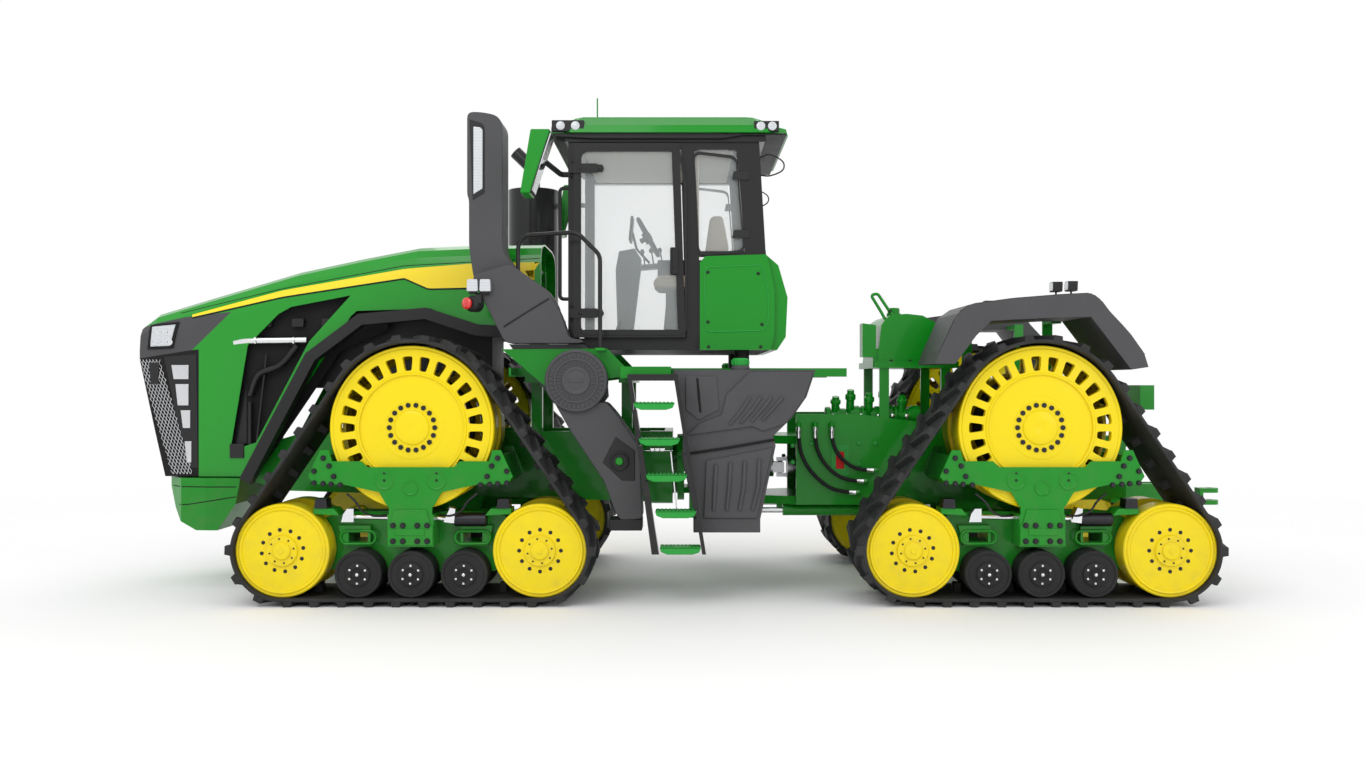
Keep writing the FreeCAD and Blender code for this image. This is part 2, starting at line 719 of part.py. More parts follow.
def door_frame():
    outer = -cab_halfwidth - door_gap - door_thickness
    whole = side_prism(door_outline(0), outer, outer + door_thickness)
    opening = side_prism(door_outline(62), outer - 5, outer + door_thickness + 5)
    frame = whole.cut(opening)
    parts = [frame]
    x = cab_x + hinge_place
    for z in hinge_heights:
        parts.append(box(x - 10, cab_x + 240, outer - 18, outer + 2, z - 38, z + 38))
        parts.append(box(x - 10, x + 10, outer, door_middle_y, z - 38, z + 38))
        parts.append(rod_z(x, door_middle_y, z - 38, z + 38, hinge_radius))
    parts.append(box(cab_x + 845, cab_x + 885, outer - 45, outer + 2, 2585, 2795))
    bore = rod_z(x, door_middle_y, cab_floor_z, cab_top_z, hinge_pin_radius + pin_clearance)
    return fuse(parts).cut(bore)


def door_glass():
    return side_prism(door_outline(63), door_middle_y - glass / 2, door_middle_y + glass / 2)


def handrails():
    x = front_axle
    rail = tube([
        vec(x + 765, -1050, 2590), vec(x + 765, -1050, 2880), vec(x + 1255, -1300, 2880),
        vec(x + 1435, -1300, 2700), vec(x + 1435, -1300, 1980),
    ], 17, 110).cut(intake_stack())
    grab = tube([
        vec(cab_x, -860, 3290), vec(cab_x - 70, -860, 3290), vec(cab_x - 70, -860, 2390), vec(cab_x, -860, 2390),
    ], 15, 40)
    return [rail, grab]


def mirrors():
    outline = [(-230, 3640), (-90, 3640), (-235, 3165), (-310, 3165)]
    head = side_prism([(cab_x + x, z) for x, z in outline], -1460, -1180)
    arm = tube([vec(cab_x, -860, 3400), vec(cab_x - 60, -860, 3400), vec(cab_x - 165, -1230, 3450)], 22, 60)
    return both_sides(fuse([head, arm]))


# ---- hood: one shell cut into hood, grille and nose panel
def hood_section(x, edge_z, half, inset):
    half -= inset
    edge_z -= inset
    right = [
        (half * 0.5, edge_z + 30), (half - 120, edge_z + 5), (half - 55, edge_z - 25), (half - 15, edge_z - 85),
        (half, edge_z - 200), (half, hood_bottom - 60),
    ]
    points = [vec(front_axle + x, y, z) for y, z in right]
    points += [vec(front_axle + x, -y, z) for y, z in right[::-1]]
    return Part.makePolygon(points + [points[0]])


def hood_solid(inset):
    h = hood_halfwidth
    stations = [
        (-nose_overhang - 5, 2185, h - 120), (-2365, 2285, h - 92), (-1950, 2405, h - 60), (-1530, 2525, h - 35),
        (-1150, 2635, h - 20), (-630, 2745, h - 6), (-145, 2838, h), (285, 2857, h), (900, 2865, h),
    ]
    wires = [hood_section(x, z, half, inset) for x, z, half in stations]
    loft = Part.makeLoft(wires, True, True)
    x = front_axle
    e = inset
    outline = [
        (x - nose_overhang + e, 3100), (x - nose_overhang + e, 1905), (x - 2275 + e, hood_bottom - 3 * e),
        (x - 1560, hood_bottom - 3 * e), (x - 1495, 1035 - 3 * e), (x - 695, 2265 - 3 * e), (x - 645, 2310 - 3 * e),
        (x - 20, 2330 - 3 * e), (x + 280, 2160 - 3 * e), (x + 895 + 3 * e, 2150 - 3 * e), (x + 895 + 3 * e, 3100),
    ]
    return loft.common(side_prism(outline, -1000, 1000))


def hood_pieces():
    x = front_axle
    shell = hood_solid(0).cut(hood_solid(hood_wall))
    far = x - nose_overhang - 100
    panel = side_prism([
        (far, 2180), (x - 2490, 2185), (x - 2110, 2262), (x - 1705, 2305), (x - 1995, 2030), (x - 2045, 1985),
        (far, 1900),
    ], -1000, 1000)
    front = side_prism([(far, 1900), (x - 2045, 1985), (x - 1985, 1990), (x - 1985, 900), (far, 900)], -1000, 1000)
    nose = shell.common(panel)
    grille = shell.cut(panel).common(front)
    vent = side_prism([
        (x - 1715, 1140), (x - 1565, 2025), (x - 1305, 2285), (x - 1195, 2345), (x - 695, 2440), (x - 1045, 2055),
        (x - 1495, 1210),
    ], -1000, 1000)
    hinge = x + hood_hinge_place
    lugs = []
    for y in (-270, 250):
        lugs.append(box(hinge - 35, hinge + 35, y, y + 20, hood_hinge_z - 35, 3000).common(hood_solid(0)))
    hood = fuse([shell.cut([panel, front, vent])] + lugs)
    bore = rod_y(hinge, -400, 400, hood_hinge_z, hood_tube_radius + pin_clearance)
    return hood.cut(bore), grille, nose


# ---- the joint in the middle
def ring_sectors(x0, x1, outer, inner):
    """A ring round the driveline as six solids side by side, so that its bore stays open."""
    turn = 60
    whole = Part.makeCylinder(outer, x1 - x0, vec(x0, 0, driveline_height), vec(1, 0, 0), turn)
    first = whole.cut(rod_x(x0 - 5, x1 + 5, 0, driveline_height, inner))
    sectors = []
    for k in range(360 // turn):
        sector = first.copy()
        sector.rotate(vec(x0, 0, driveline_height), vec(1, 0, 0), k * turn)
        sectors.append(sector)
    return sectors


def yoke():
    top = driveline_height + yoke_arm_height
    back = rear_face_of_yoke
    parts = ring_sectors(back - 300, back, trunnion_radius, trunnion_bore)
    parts += ring_sectors(back - 60, back, trunnion_radius + 60, trunnion_radius)
    for low in (top - yoke_arm_thickness, 2 * driveline_height - top):
        plan = [(back - 40, -200), (pivot, -130), (pivot, 130), (back - 40, 200)]
        disc = rod_z(pivot, 0, low, low + yoke_arm_thickness, 130)
        parts.append(fuse([plan_prism(plan, low, low + yoke_arm_thickness), disc]))
    wing_top = 2 * driveline_height - top + yoke_arm_thickness
    parts.append(box(pivot - eye_reach - 125, pivot - eye_reach + 60, -cylinder_offset - 60,
                     cylinder_offset + 60, wing_top - yoke_arm_thickness, wing_top))
    pins = rod_z(pivot, 0, 400, 1500, pivot_pin_radius + pin_clearance)
    return apart([part.cut(pins) for part in parts])


def cylinder_forks():
    """What hangs under the yoke's wing and holds the rod eyes from above and below, each side."""
    wing_low = driveline_height - yoke_arm_height
    eye_top = cylinder_height + eye_height / 2 + eye_gap
    eye_low = cylinder_height - eye_height / 2 - eye_gap
    x0 = pivot - eye_reach - 125
    pieces = []
    for side in (-1, 1):
        y = side * cylinder_offset
        y0, y1 = sorted((y - side * 50, y + side * 60))
        pieces.append(rod_z(pivot - eye_reach, y, eye_top, wing_low, 55))
        pieces.append(box(x0, x0 + 25, y0, y1, eye_low - 30, wing_low))
        pieces.append(box(x0 + 25, pivot - eye_reach + 30, y0, y1, eye_low - 30, eye_low))
    return pieces


def pivot_pins():
    top = driveline_height + yoke_arm_height
    bottom = 2 * driveline_height - top
    reach = arm_gap + rear_arm_thickness + 12
    upper = rod_z(pivot, 0, top - yoke_arm_thickness - 10, top + reach, pivot_pin_radius)
    lower = rod_z(pivot, 0, bottom - reach, bottom + yoke_arm_thickness + 10, pivot_pin_radius)
    return [upper, lower]


def rear_frame():
    x = rear_axle
    top = driveline_height + yoke_arm_height + arm_gap
    bottom = 2 * driveline_height - top
    front_of_plates = pivot + 625.0
    tail = x + 1000.0
    plate = [
        (front_of_plates, bottom - rear_arm_thickness), (tail, bottom - 20), (tail, 1250), (x - 300, 1330),
        (x - 900, 1400), (x - 1250, 1445), (front_of_plates, 1445),
    ]
    inner = side_plate_offset - side_plate_thickness
    parts = both_sides(side_prism(plate, -side_plate_offset, -inner))
    wide = side_plate_offset - 5
    plan = [
        (pivot, -170), (pivot + 700, -wide), (pivot + pin_reach + 70, -wide), (pivot + pin_reach + 70, wide),
        (pivot + 700, wide), (pivot, 170),
    ]
    for low in (top, bottom - rear_arm_thickness):
        parts.append(plan_prism(plan, low, low + rear_arm_thickness))
        parts.append(rod_z(pivot, 0, low, low + rear_arm_thickness, 170))
    wall = plan_prism([(x - 1050, -wide), (x - 1010, -wide), (x - 1010, wide), (x - 1050, wide)],
                      bottom - 60, top + 60)
    parts.append(wall)
    parts.append(box(tail - 50, tail, -wide, wide, bottom - 20, 1250))
    parts.append(box(tail - 10, x + 1525, -120, 120, 665, 690))
    parts.append(box(tail - 10, x + 1525, -120, -70, 665, 830))
    parts.append(box(tail - 10, x + 1525, 70, 120, 665, 830))
    posts = []
    for side in (-1, 1):
        y0, y1 = sorted((side * inner, side * side_plate_offset))
        posts.append(box(x - 1080, x - 1000, y0, y1, 1380, 1835))
        posts.append(box(x - 560, x - 480, y0, y1, 1340, 1835))
        posts.append(box(x - 380, x - 300, y0, y1, 1300, 2225))
        posts.append(box(x + 300, x + 380, y0, y1, 1250, 2245))
        ya, yb = sorted((side * inner, side * 702))
        posts.append(box(x - 380, x - 300, ya, yb, 2180, 2220))
        posts.append(box(x + 300, x + 380, ya, yb, 2200, 2240))
    frame = fuse(parts)
    saddle = rod_y(x, -side_plate_offset - 5, side_plate_offset + 5, axle_height,
                   axle_housing_radius + saddle_clearance)
    pins = rod_z(pivot, 0, 400, 1500, pivot_pin_radius + pin_clearance)
    shaft_way = rod_x(x - 1100, x - 900, 0, driveline_height, 120)
    return apart([frame.cut([saddle, pins, shaft_way])] + posts)


def barrel_pins():
    """Boss, pin and pin head under the rear frame's lower arm, each side."""
    arm_low = driveline_height - yoke_arm_height - arm_gap - rear_arm_thickness
    eye_top = cylinder_height + eye_height / 2 + eye_gap
    eye_low = cylinder_height - eye_height / 2 - eye_gap
    pins = []
    for side in (-1, 1):
        y = side * cylinder_offset
        pins.append(fuse([
            rod_z(pivot + pin_reach, y, eye_top, arm_low, eye_radius),
            rod_z(pivot + pin_reach, y, eye_low - 8, arm_low, cylinder_pin_radius),
            rod_z(pivot + pin_reach, y, eye_low - 8, eye_low, cylinder_pin_radius + 12),
        ]))
    return pins


def cylinder_barrel(side):
    """Steering cylinder: pinned under the rear frame, its gland towards the yoke."""
    x = pivot + pin_reach
    y = side * cylinder_offset
    z = cylinder_height
    body = fuse([
        rod_x(x - barrel_length, x - 60, y, z, barrel_radius),
        rod_z(x, y, z - eye_height / 2, z + eye_height / 2, eye_radius),
        box(x - 70, x, y - 30, y + 30, z - eye_height / 2, z + eye_height / 2),
    ])
    bore = rod_x(x - barrel_length + 60, x - 80, y, z, barrel_bore)
    gland = rod_x(x - barrel_length - 5, x - barrel_length + 65, y, z, rod_radius + pin_clearance)
    pin_hole = rod_z(x, y, z - eye_height, z + eye_height, cylinder_pin_radius + pin_clearance)
    return body.cut([bore, gland, pin_hole])


def cylinder_rod(side):
    x = pivot - eye_reach
    y = side * cylinder_offset
    z = cylinder_height
    return fuse([
        rod_x(x, x + rod_length, y, z, rod_radius),
        rod_x(x + rod_length - 50, x + rod_length, y, z, barrel_bore - pin_clearance),
        rod_z(x, y, z - eye_height / 2, z + eye_height / 2, eye_radius),
    ])


def driveshaft():
    """Middle propeller shaft, which swings with the steering about its rear universal joint."""
    z = driveline_height
    joint = pivot + joint_reach
    return fuse([
        rod_x(pivot - joint_reach + 95, joint - 90, 0, z, 42),
        rod_x(joint - 110, joint - 60, 0, z, 85),
        box(joint - 70, joint + 30, -85, -50, z - 45, z + 45),
        box(joint - 70, joint + 30, 50, 85, z - 45, z + 45),
        rod_y(joint, -84, 84, z, 24),
    ])


def rear_shaft():
    z = driveline_height
    joint = pivot + joint_reach
    parts = [
        rod_x(joint + 75, rear_axle - 280, 0, z, 60),
        rod_x(joint + 60, joint + 110, 0, z, 100),
    ]
    for side in (-1, 1):
        z0, z1 = sorted((z + side * 55, z + side * 85))
        parts.append(box(joint - 30, joint + 65, -30, 30, z0, z1))
        za, zb = sorted((z + side * 30, z + side * 60))
        parts.append(rod_z(joint, 0, za, zb, 20))
    return fuse(parts)


# ---- on the rear frame
def hydraulic_tank():
    x = rear_axle
    outline = [
        (x - 1095, 1885), (x - 1060, 2200), (x - 1025, 2250), (x - 975, 2285), (x - 845, 2295), (x - 710, 2280),
        (x - 610, 2225), (x - 515, 2160), (x - 590, 1885),
    ]
    body = side_prism(outline, -430, 430)
    deck = box(x - 1120, x - 415, -480, 480, 1835, 1890)
    strut = [(x - 1220, 1930), (x - 1105, 1925), (x - 1105, 2200), (x - 1220, 2215)]
    valve = side_prism(strut, -430, -260)
    foot = box(x - 1130, x - 1060, -420, -330, 1840, 2000)
    handle = tube([
        vec(x - 1010, -360, 2240), vec(x - 1060, -360, 2330), vec(x - 1140, -360, 2460), vec(x - 1080, -360, 2470),
        vec(x - 960, -360, 2290), vec(x - 930, -360, 2240),
    ], 13, 30)
    return fuse([body, deck, valve, foot, handle])


def rear_fenders():
    x = rear_axle
    outline = [
        (x - 805, 1855), (x - 770, 1955), (x - 640, 2240), (x - 540, 2310), (x - 210, 2355), (x + 165, 2385),
        (x + 385, 2395), (x + 450, 2355), (x + 525, 2255), (x + 675, 2095), (x + 795, 1925), (x + 825, 1830),
        (x + 695, 1810), (x + 385, 2215), (x + 215, 2215), (x - 380, 2185), (x - 495, 2070), (x - 655, 1855),
    ]
    return both_sides(side_prism(outline, -1430, -702))


def drawbar():
    tip = rear_axle + tail_overhang
    z0, z1 = 692.0, 745.0
    bar = box(rear_axle + 1010, tail_tip_start(), -50, 50, z0, z1)
    head = box(tail_tip_start() - 10, tip - 60, -60, 60, 640, 785)
    nose = rod_z(tip - 60, 0, 640, 785, 60)
    shape = fuse([bar, head, nose])
    slot = box(tail_tip_start() + 20, tip + 10, -70, 70, 680, 745)
    pin = rod_z(tip - 75, 0, 600, 800, 25.5)
    return shape.cut([slot, pin])


def tail_tip_start():
    return rear_axle + tail_overhang - 170.0


def valve_manifold():
    x = rear_axle
    y = -300.0
    parts = [rod_x(x - 1460, x - 720, y, 1430, 55)]
    for place, radius, length in ((-1460, 78, 60), (-1330, 70, 150), (-1100, 80, 70), (-960, 72, 120), (-790, 85, 70)):
        parts.append(rod_x(x + place, x + place + length, y, 1430, radius))
    parts.append(box(x - 1000, x - 940, y - 40, y + 40, 1262, 1400))
    return fuse(parts)


# ---- hoses on the left side plate: (x behind the pivot, z) points from the upper fitting to the lower one
hose_radius = 16.0
hose_y = -side_plate_offset - 48.0
hose_routes = [
    [(640, 1340), (640, 1182), (700, 1020), (810, 890), (962, 790), (1120, 790)],
    [(780, 1340), (780, 1205), (828, 1070), (920, 960), (1050, 885), (1185, 885)],
    [(920, 1340), (920, 1231), (962, 1120), (1045, 1030), (1155, 975), (1268, 975)],
]


def hydraulic_hose(route):
    points = [vec(pivot + x, hose_y, z) for x, z in route]
    path = tube_path(points, 1000.0)
    ring = Part.Wire(Part.makeCircle(hose_radius, points[0], points[1] - points[0]))
    hose = path.makePipeShell([ring], True, False)
    straight = math.pi * hose_radius ** 2 * path.Length
    print("hose length", round(path.Length), "volume ratio", round(hose.Volume / straight, 3))
    return hose


def hose_fittings():
    """An elbow at each hose's two ends, standing out of the side plate."""
    fittings = []
    for route in hose_routes:
        x, z = route[0]
        x += pivot
        fittings.append(fuse([
            rod_z(x, hose_y, z, z + 35, hose_radius + 6),
            box(x - 16, x + 16, hose_y, -side_plate_offset, z + 5, z + 33),
        ]))
        x, z = route[-1]
        x += pivot
        fittings.append(fuse([
            rod_x(x, x + 35, hose_y, z, hose_radius + 6),
            box(x + 5, x + 33, hose_y, -side_plate_offset, z - 16, z + 16),
        ]))
    return fittings


def rear_couplers():
    x = rear_axle
    return fuse([
        box(x + 1170, x + 1290, -330, 330, 1480, 1690),
        box(x + 1000, x + 1200, -60, 60, 1150, 1210),
        box(x + 1160, x + 1220, -60, 60, 1160, 1500),
    ])


def main():
    os.makedirs("parts", exist_ok=True)
    track_units("front", front_axle)
    track_units("rear", rear_axle)
    save("front_axle", [axle(front_axle)])
    save("rear_axle", [axle(rear_axle)])
    save("front_frame", [front_frame()])
    save("front_bumper", [front_bumper()])
    save("front_fenders", front_fenders())
    save("engine_block", [engine_block()])
    save("radiator", [radiator()])
    save("cab_subframe", subframe())
    save("intake_stack", [intake_stack()])
    save("intake_housing", [intake_housing()])
    save("leg_duct", [fuse([leg_duct(), duct_mounts()])])
    save("exhaust_stack", [exhaust()])
    save("step_treads", step_treads())
    save("step_rails", [step_rails()])
    save("fuel_tanks", fuel_tanks())
    save("cab_floor", [cab_floor()])
    save("cab_frame", [cab_frame()])
    save("cab_roof", [cab_roof()])
    save("cab_glass", cab_glass())
    save("cab_rear_panels", [cab_rear_panels()])
    save("seat_cushions", seat_cushions())
    save("seat_base", [seat_base()])
    save("steering_console", [steering_console()])
    save("steering_wheel", [steering_wheel()])
    save("door_frame", [door_frame()])
    save("door_glass", [door_glass()])
    save("handrails", handrails())
    save("mirrors", mirrors())
    hood, grille, nose = hood_pieces()
    save("hood", [hood])
    save("grille", [grille])
    save("nose_panel", [nose])
    save("articulation_yoke", yoke() + cylinder_forks())
    save("pivot_pins", pivot_pins())
    save("rear_frame", rear_frame() + barrel_pins())
    save("left_cylinder_barrel", [cylinder_barrel(-1)])
    save("left_cylinder_rod", [cylinder_rod(-1)])
    save("right_cylinder_barrel", [cylinder_barrel(1)])
    save("right_cylinder_rod", [cylinder_rod(1)])
    save("driveshaft", [driveshaft()])
    save("rear_shaft", [rear_shaft()])
    save("hydraulic_tank", [hydraulic_tank()])
    save("rear_fenders", rear_fenders())
    save("drawbar", [drawbar()])
    save("valve_manifold", [valve_manifold()] + hose_fittings())
    for name, route in zip(("front", "middle", "rear"), hose_routes):
        save("hydraulic_hose_" + name, [hydraulic_hose(route)])
    save("rear_couplers", [rear_couplers()])


main()
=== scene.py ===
import bmesh
import bpy
import json
import math
from mathutils import Matrix, Vector
from mathutils.bvhtree import BVHTree


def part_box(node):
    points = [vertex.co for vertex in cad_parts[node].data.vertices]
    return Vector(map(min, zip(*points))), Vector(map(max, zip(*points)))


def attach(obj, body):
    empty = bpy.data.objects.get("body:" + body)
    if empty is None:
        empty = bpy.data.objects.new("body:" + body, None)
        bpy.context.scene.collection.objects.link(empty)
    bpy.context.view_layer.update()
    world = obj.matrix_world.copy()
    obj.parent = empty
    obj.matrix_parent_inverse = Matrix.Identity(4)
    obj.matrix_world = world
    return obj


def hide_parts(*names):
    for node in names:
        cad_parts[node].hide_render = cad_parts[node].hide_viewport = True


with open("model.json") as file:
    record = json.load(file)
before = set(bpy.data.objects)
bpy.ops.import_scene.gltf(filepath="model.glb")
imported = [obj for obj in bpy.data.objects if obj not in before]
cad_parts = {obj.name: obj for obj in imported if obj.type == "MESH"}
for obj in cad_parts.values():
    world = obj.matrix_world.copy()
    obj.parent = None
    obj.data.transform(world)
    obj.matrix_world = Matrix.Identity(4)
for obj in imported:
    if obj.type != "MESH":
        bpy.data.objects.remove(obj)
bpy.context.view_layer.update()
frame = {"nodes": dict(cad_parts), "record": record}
nodes = frame["nodes"]


def middle(node):
    low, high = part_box(node)
    return (low + high) / 2


frontAxle = middle("front_axle").x
rearAxle = middle("rear_axle").x
axleHeight = middle("front_axle").z
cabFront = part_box("cab_floor")[0].x
beltMiddle = -middle("front_left_track_belt").y
pivot = middle("pivot_pins").x
print("frame loaded, axles at", round(frontAxle, 3), round(rearAxle, 3))


# one socket of a shader, so that formulas can be written as formulas
class Value:
    def __init__(self, finish, socket):
        self.finish = finish
        self.socket = socket

    def maths(self, operation, first, second):
        return self.finish.node("ShaderNodeMath", {"operation": operation}, {0: first, 1: second})

    def __add__(self, other):
        return self.maths("ADD", self, other)

    __radd__ = __add__

    def __sub__(self, other):
        return self.maths("SUBTRACT", self, other)

    def __rsub__(self, other):
        return self.maths("SUBTRACT", other, self)

    def __mul__(self, other):
        return self.maths("MULTIPLY", self, other)

    __rmul__ = __mul__

    def __truediv__(self, other):
        return self.maths("DIVIDE", self, other)

    def __pow__(self, other):
        return self.maths("POWER", self, other)

    def __gt__(self, other):
        return self.maths("GREATER_THAN", self, other)


class Finish:
    def __init__(self, name, **constants):
        self.material = bpy.data.materials.new(name)
        self.material.use_nodes = True
        self.tree = self.material.node_tree
        self.shader = self.tree.nodes["Principled BSDF"]
        self.place = self.node("ShaderNodeTexCoord", {}, {}, "Object")
        for key, value in constants.items():
            self.shader.inputs[key.replace("_", " ")].default_value = value

    def node(self, kind, settings, inputs, output=0):
        made = self.tree.nodes.new(kind)
        for key, value in settings.items():
            if key == "stops":
                while len(made.color_ramp.elements) < len(value):
                    made.color_ramp.elements.new(0.5)
                for stop, (position, colour) in zip(made.color_ramp.elements, value):
                    stop.position = position
                    stop.color = (*colour, 1) if len(colour) == 3 else colour
            else:
                setattr(made, key, value)
        for key, value in inputs.items():
            if isinstance(value, Value):
                self.tree.links.new(value.socket, made.inputs[key])
            else:
                made.inputs[key].default_value = value
        return Value(self, made.outputs[output])

    def noise(self, scale, detail=3.0, stretch=None):
        place = self.place
        if stretch:
            place = self.node("ShaderNodeVectorMath", {"operation": "MULTIPLY"}, {0: place, 1: stretch})
        return self.node("ShaderNodeTexNoise", {}, {"Vector": place, "Scale": scale, "Detail": detail})

    def cells(self, scale, feature="F1"):
        return self.node("ShaderNodeTexVoronoi", {"feature": feature}, {"Vector": self.place, "Scale": scale})

    def blend(self, mask, first, second):
        first, second = [c if isinstance(c, Value) else (*c, 1) for c in (first, second)]
        return self.node("ShaderNodeMix", {"data_type": "RGBA"}, {0: mask, 6: first, 7: second}, 2)

    def ramp(self, value, *stops):
        return self.node("ShaderNodeValToRGB", {"stops": stops}, {0: value})

    def heightZ(self):
        return self.node("ShaderNodeSeparateXYZ", {}, {0: self.place}, 2)

    def bump(self, height, strength, distance):
        normal = self.node("ShaderNodeBump", {}, {"Strength": strength, "Distance": distance,
                                                  "Height": height})
        self.feed("Normal", normal)

    def feed(self, socket, value):
        self.tree.links.new(value.socket, self.shader.inputs[socket])


def paint(name, colour, dusty, roughness=0.3, coat=0.6):
    # sprayed enamel: faint orange peel, a little cloudiness, dust that gathers low down
    made = Finish(name, Coat_Roughness=0.08, Coat_Weight=coat, Specular_IOR_Level=0.2)
    cloud = made.noise(1.7, 4)
    peel = made.noise(140, 2)
    grime = made.noise(9, 6)
    low = made.node("ShaderNodeMapRange", {}, {0: made.heightZ(), 1: 1.5, 2: 0.1, 3: 0.0, 4: 1.0})
    mask = low * (grime ** 3) * dusty
    shade = made.blend(cloud * 0.5, colour, tuple(c * 0.86 for c in colour))
    made.feed("Base Color", made.blend(mask, shade, (0.2, 0.17, 0.12)))
    made.feed("Roughness", mask * 0.5 + grime * 0.08 + (roughness - 0.04))
    made.bump(peel + grime * 0.5, 0.12, 0.0006)
    return made.material


def plastic(name, colour, grain=420, roughness=0.55, depth=0.0005):
    # moulded plastic with a leather-like grain and slight fading
    made = Finish(name, Specular_IOR_Level=0.35)
    grainy = made.cells(grain)
    cloud = made.noise(3, 5)
    made.feed("Base Color", made.blend(cloud, tuple(c * 0.82 for c in colour),
                                       tuple(c * 1.18 for c in colour)))
    made.feed("Roughness", cloud * 0.16 + (roughness - 0.08))
    made.bump(grainy, 0.35, depth)
    return made.material


def rubber(name, colour, dusty=0.6):
    made = Finish(name, Specular_IOR_Level=0.3)
    fine = made.noise(260, 3)
    broad = made.noise(5, 6)
    dust = made.ramp(broad, (0.42, (0, 0, 0)), (0.75, (dusty, dusty, dusty)))
    made.feed("Base Color", made.blend(dust, colour, tuple(c * 1.9 + 0.006 for c in colour)))
    made.feed("Roughness", broad * 0.2 + 0.6)
    made.bump(fine + broad, 0.4, 0.0015)
    return made.material


def metal(name, colour, roughness=0.3, brushed=False):
    made = Finish(name, Metallic=1.0)
    grain = made.noise(60, 4, (1, 1, 14) if brushed else None)
    stain = made.noise(7, 5)
    made.feed("Base Color", made.blend(stain, tuple(c * 0.8 for c in colour), colour))
    made.feed("Roughness", grain * 0.18 + (roughness - 0.09))
    made.bump(grain, 0.15, 0.0004)
    return made.material


def casting(name, colour):
    made = Finish(name, Metallic=0.5, Specular_IOR_Level=0.4)
    lumps = made.noise(70, 6)
    oil = made.noise(3.5, 4)
    made.feed("Base Color", made.blend(oil, colour, tuple(c * 2.1 for c in colour)))
    made.feed("Roughness", oil * 0.35 + 0.38)
    made.bump(lumps, 0.5, 0.0015)
    return made.material


def cloth(name, colour):
    # woven trim: warp and weft ribs, with a soft fleck
    made = Finish(name, Sheen_Weight=0.35, Sheen_Roughness=0.5, Specular_IOR_Level=0.2)
    warp = made.node("ShaderNodeTexWave", {"bands_direction": "Y"}, {"Vector": made.place, "Scale": 110.0})
    weft = made.node("ShaderNodeTexWave", {"bands_direction": "DIAGONAL"},
                     {"Vector": made.place, "Scale": 110.0})
    fleck = made.noise(180, 2)
    made.feed("Base Color", made.blend(warp * weft, tuple(c * 0.72 for c in colour), colour))
    made.feed("Roughness", fleck * 0.2 + 0.75)
    made.bump(warp + weft + fleck, 0.5, 0.0009)
    return made.material


def glazing(name, colour, alpha):
    made = Finish(name, Coat_Weight=0.3, Specular_IOR_Level=0.6)
    smear = made.noise(2.2, 5)
    made.feed("Base Color", made.blend(smear, colour, tuple(c * 0.9 for c in colour)))
    made.feed("Roughness", smear * 0.05 + 0.01)
    made.feed("Alpha", smear * 0.05 + alpha)
    return made.material


def lens(name, colour, glow):
    # ribbed optic over a bright reflector
    made = Finish(name, Coat_Weight=1.0, Coat_Roughness=0.03, Emission_Strength=glow)
    ribs = made.node("ShaderNodeTexWave", {"bands_direction": "Z"}, {"Vector": made.place, "Scale": 26.0})
    spots = made.cells(55)
    tint = made.blend(ribs * 0.6, colour, tuple(c * 0.55 for c in colour))
    made.feed("Base Color", tint)
    made.feed("Emission Color", tint)
    made.feed("Roughness", spots * 0.2 + 0.05)
    made.bump(ribs + spots, 0.4, 0.002)
    return made.material


green = (0.002, 0.245, 0.009)
yellow = (0.88, 0.68, 0.001)
finishes = {
    "belt_rubber": rubber("beltRubber", (0.022, 0.022, 0.023)),
    "wheel_yellow": paint("wheelYellow", yellow, 0.5, 0.35, 0.25),
    "idler_yellow": paint("idlerYellow", yellow, 0.7, 0.35, 0.25),
    "roller_black": rubber("rollerRubber", (0.016, 0.016, 0.017), 0.4),
    "frame_green": paint("frameGreen", green, 0.6, 0.35, 0.3),
    "hood_green": paint("hoodGreen", (0.003, 0.290, 0.010), 0.2, 0.22, 0.6),
    "grey_plastic": plastic("greyPlastic", (0.060, 0.060, 0.064)),
    "black_plastic": plastic("blackPlastic", (0.014, 0.014, 0.015)),
    "black_metal": paint("blackPaint", (0.012, 0.012, 0.013), 0.3, 0.35, 0.3),
    "cast_dark": casting("darkCasting", (0.018, 0.018, 0.02)),
    "grille_silver": metal("grilleSilver", (0.70, 0.71, 0.73), 0.32),
    "glass_clear": glazing("cabGlass", (0.80, 0.86, 0.86), 0.13),
    "chrome_rod": metal("chromeRod", (0.83, 0.84, 0.86), 0.12),
    "steel_shaft": metal("machinedSteel", (0.52, 0.53, 0.55), 0.32, True),
    "seat_fabric": cloth("seatTrim", (0.52, 0.43, 0.33)),
    "hose_rubber": rubber("hoseRubber", (0.010, 0.010, 0.010), 0.2),
}
extras = {
    "stripe": paint("stripeYellow", (0.98, 0.74, 0.010), 0.1, 0.25, 0.8),
    "headlamp": lens("headlampLens", (0.60, 0.62, 0.65), 0.10),
    "redLens": lens("redLens", (0.62, 0.01, 0.008), 0.2),
    "trim": plastic("interiorTrim", (0.42, 0.37, 0.31), 300, 0.6),
    "console": plastic("consoleGrey", (0.16, 0.16, 0.165), 300, 0.5),
    "tag": rubber("redTag", (0.50, 0.012, 0.012), 0.1),
    "lightGreen": paint("treadGreen", (0.016, 0.315, 0.040), 0.4, 0.45, 0.2),
    "mirrorGlass": metal("mirrorGlass", (0.85, 0.87, 0.9), 0.08),
    # near-black matte: the own colour of dark seams and trims, and painted shade where it fills an opening
    "darkTrimAndShade": plastic("darkTrimAndShade", (0.006, 0.006, 0.006), 200, 0.8),
    "wheelBolt": metal("wheelBolt", (0.045, 0.045, 0.05), 0.4),
}

# every CAD node takes its slot's finish, but the grille takes the near-black matte, as painted shade behind
# its mesh
slotOf = {part["node"]: part["material_slot"] for part in frame["record"]["subparts"]}
for name, solid in nodes.items():
    solid.data.materials.clear()
    solid.data.materials.append(extras["darkTrimAndShade"] if name == "grille" else finishes[slotOf[name]])
print("finishes made:", len(finishes) + len(extras))


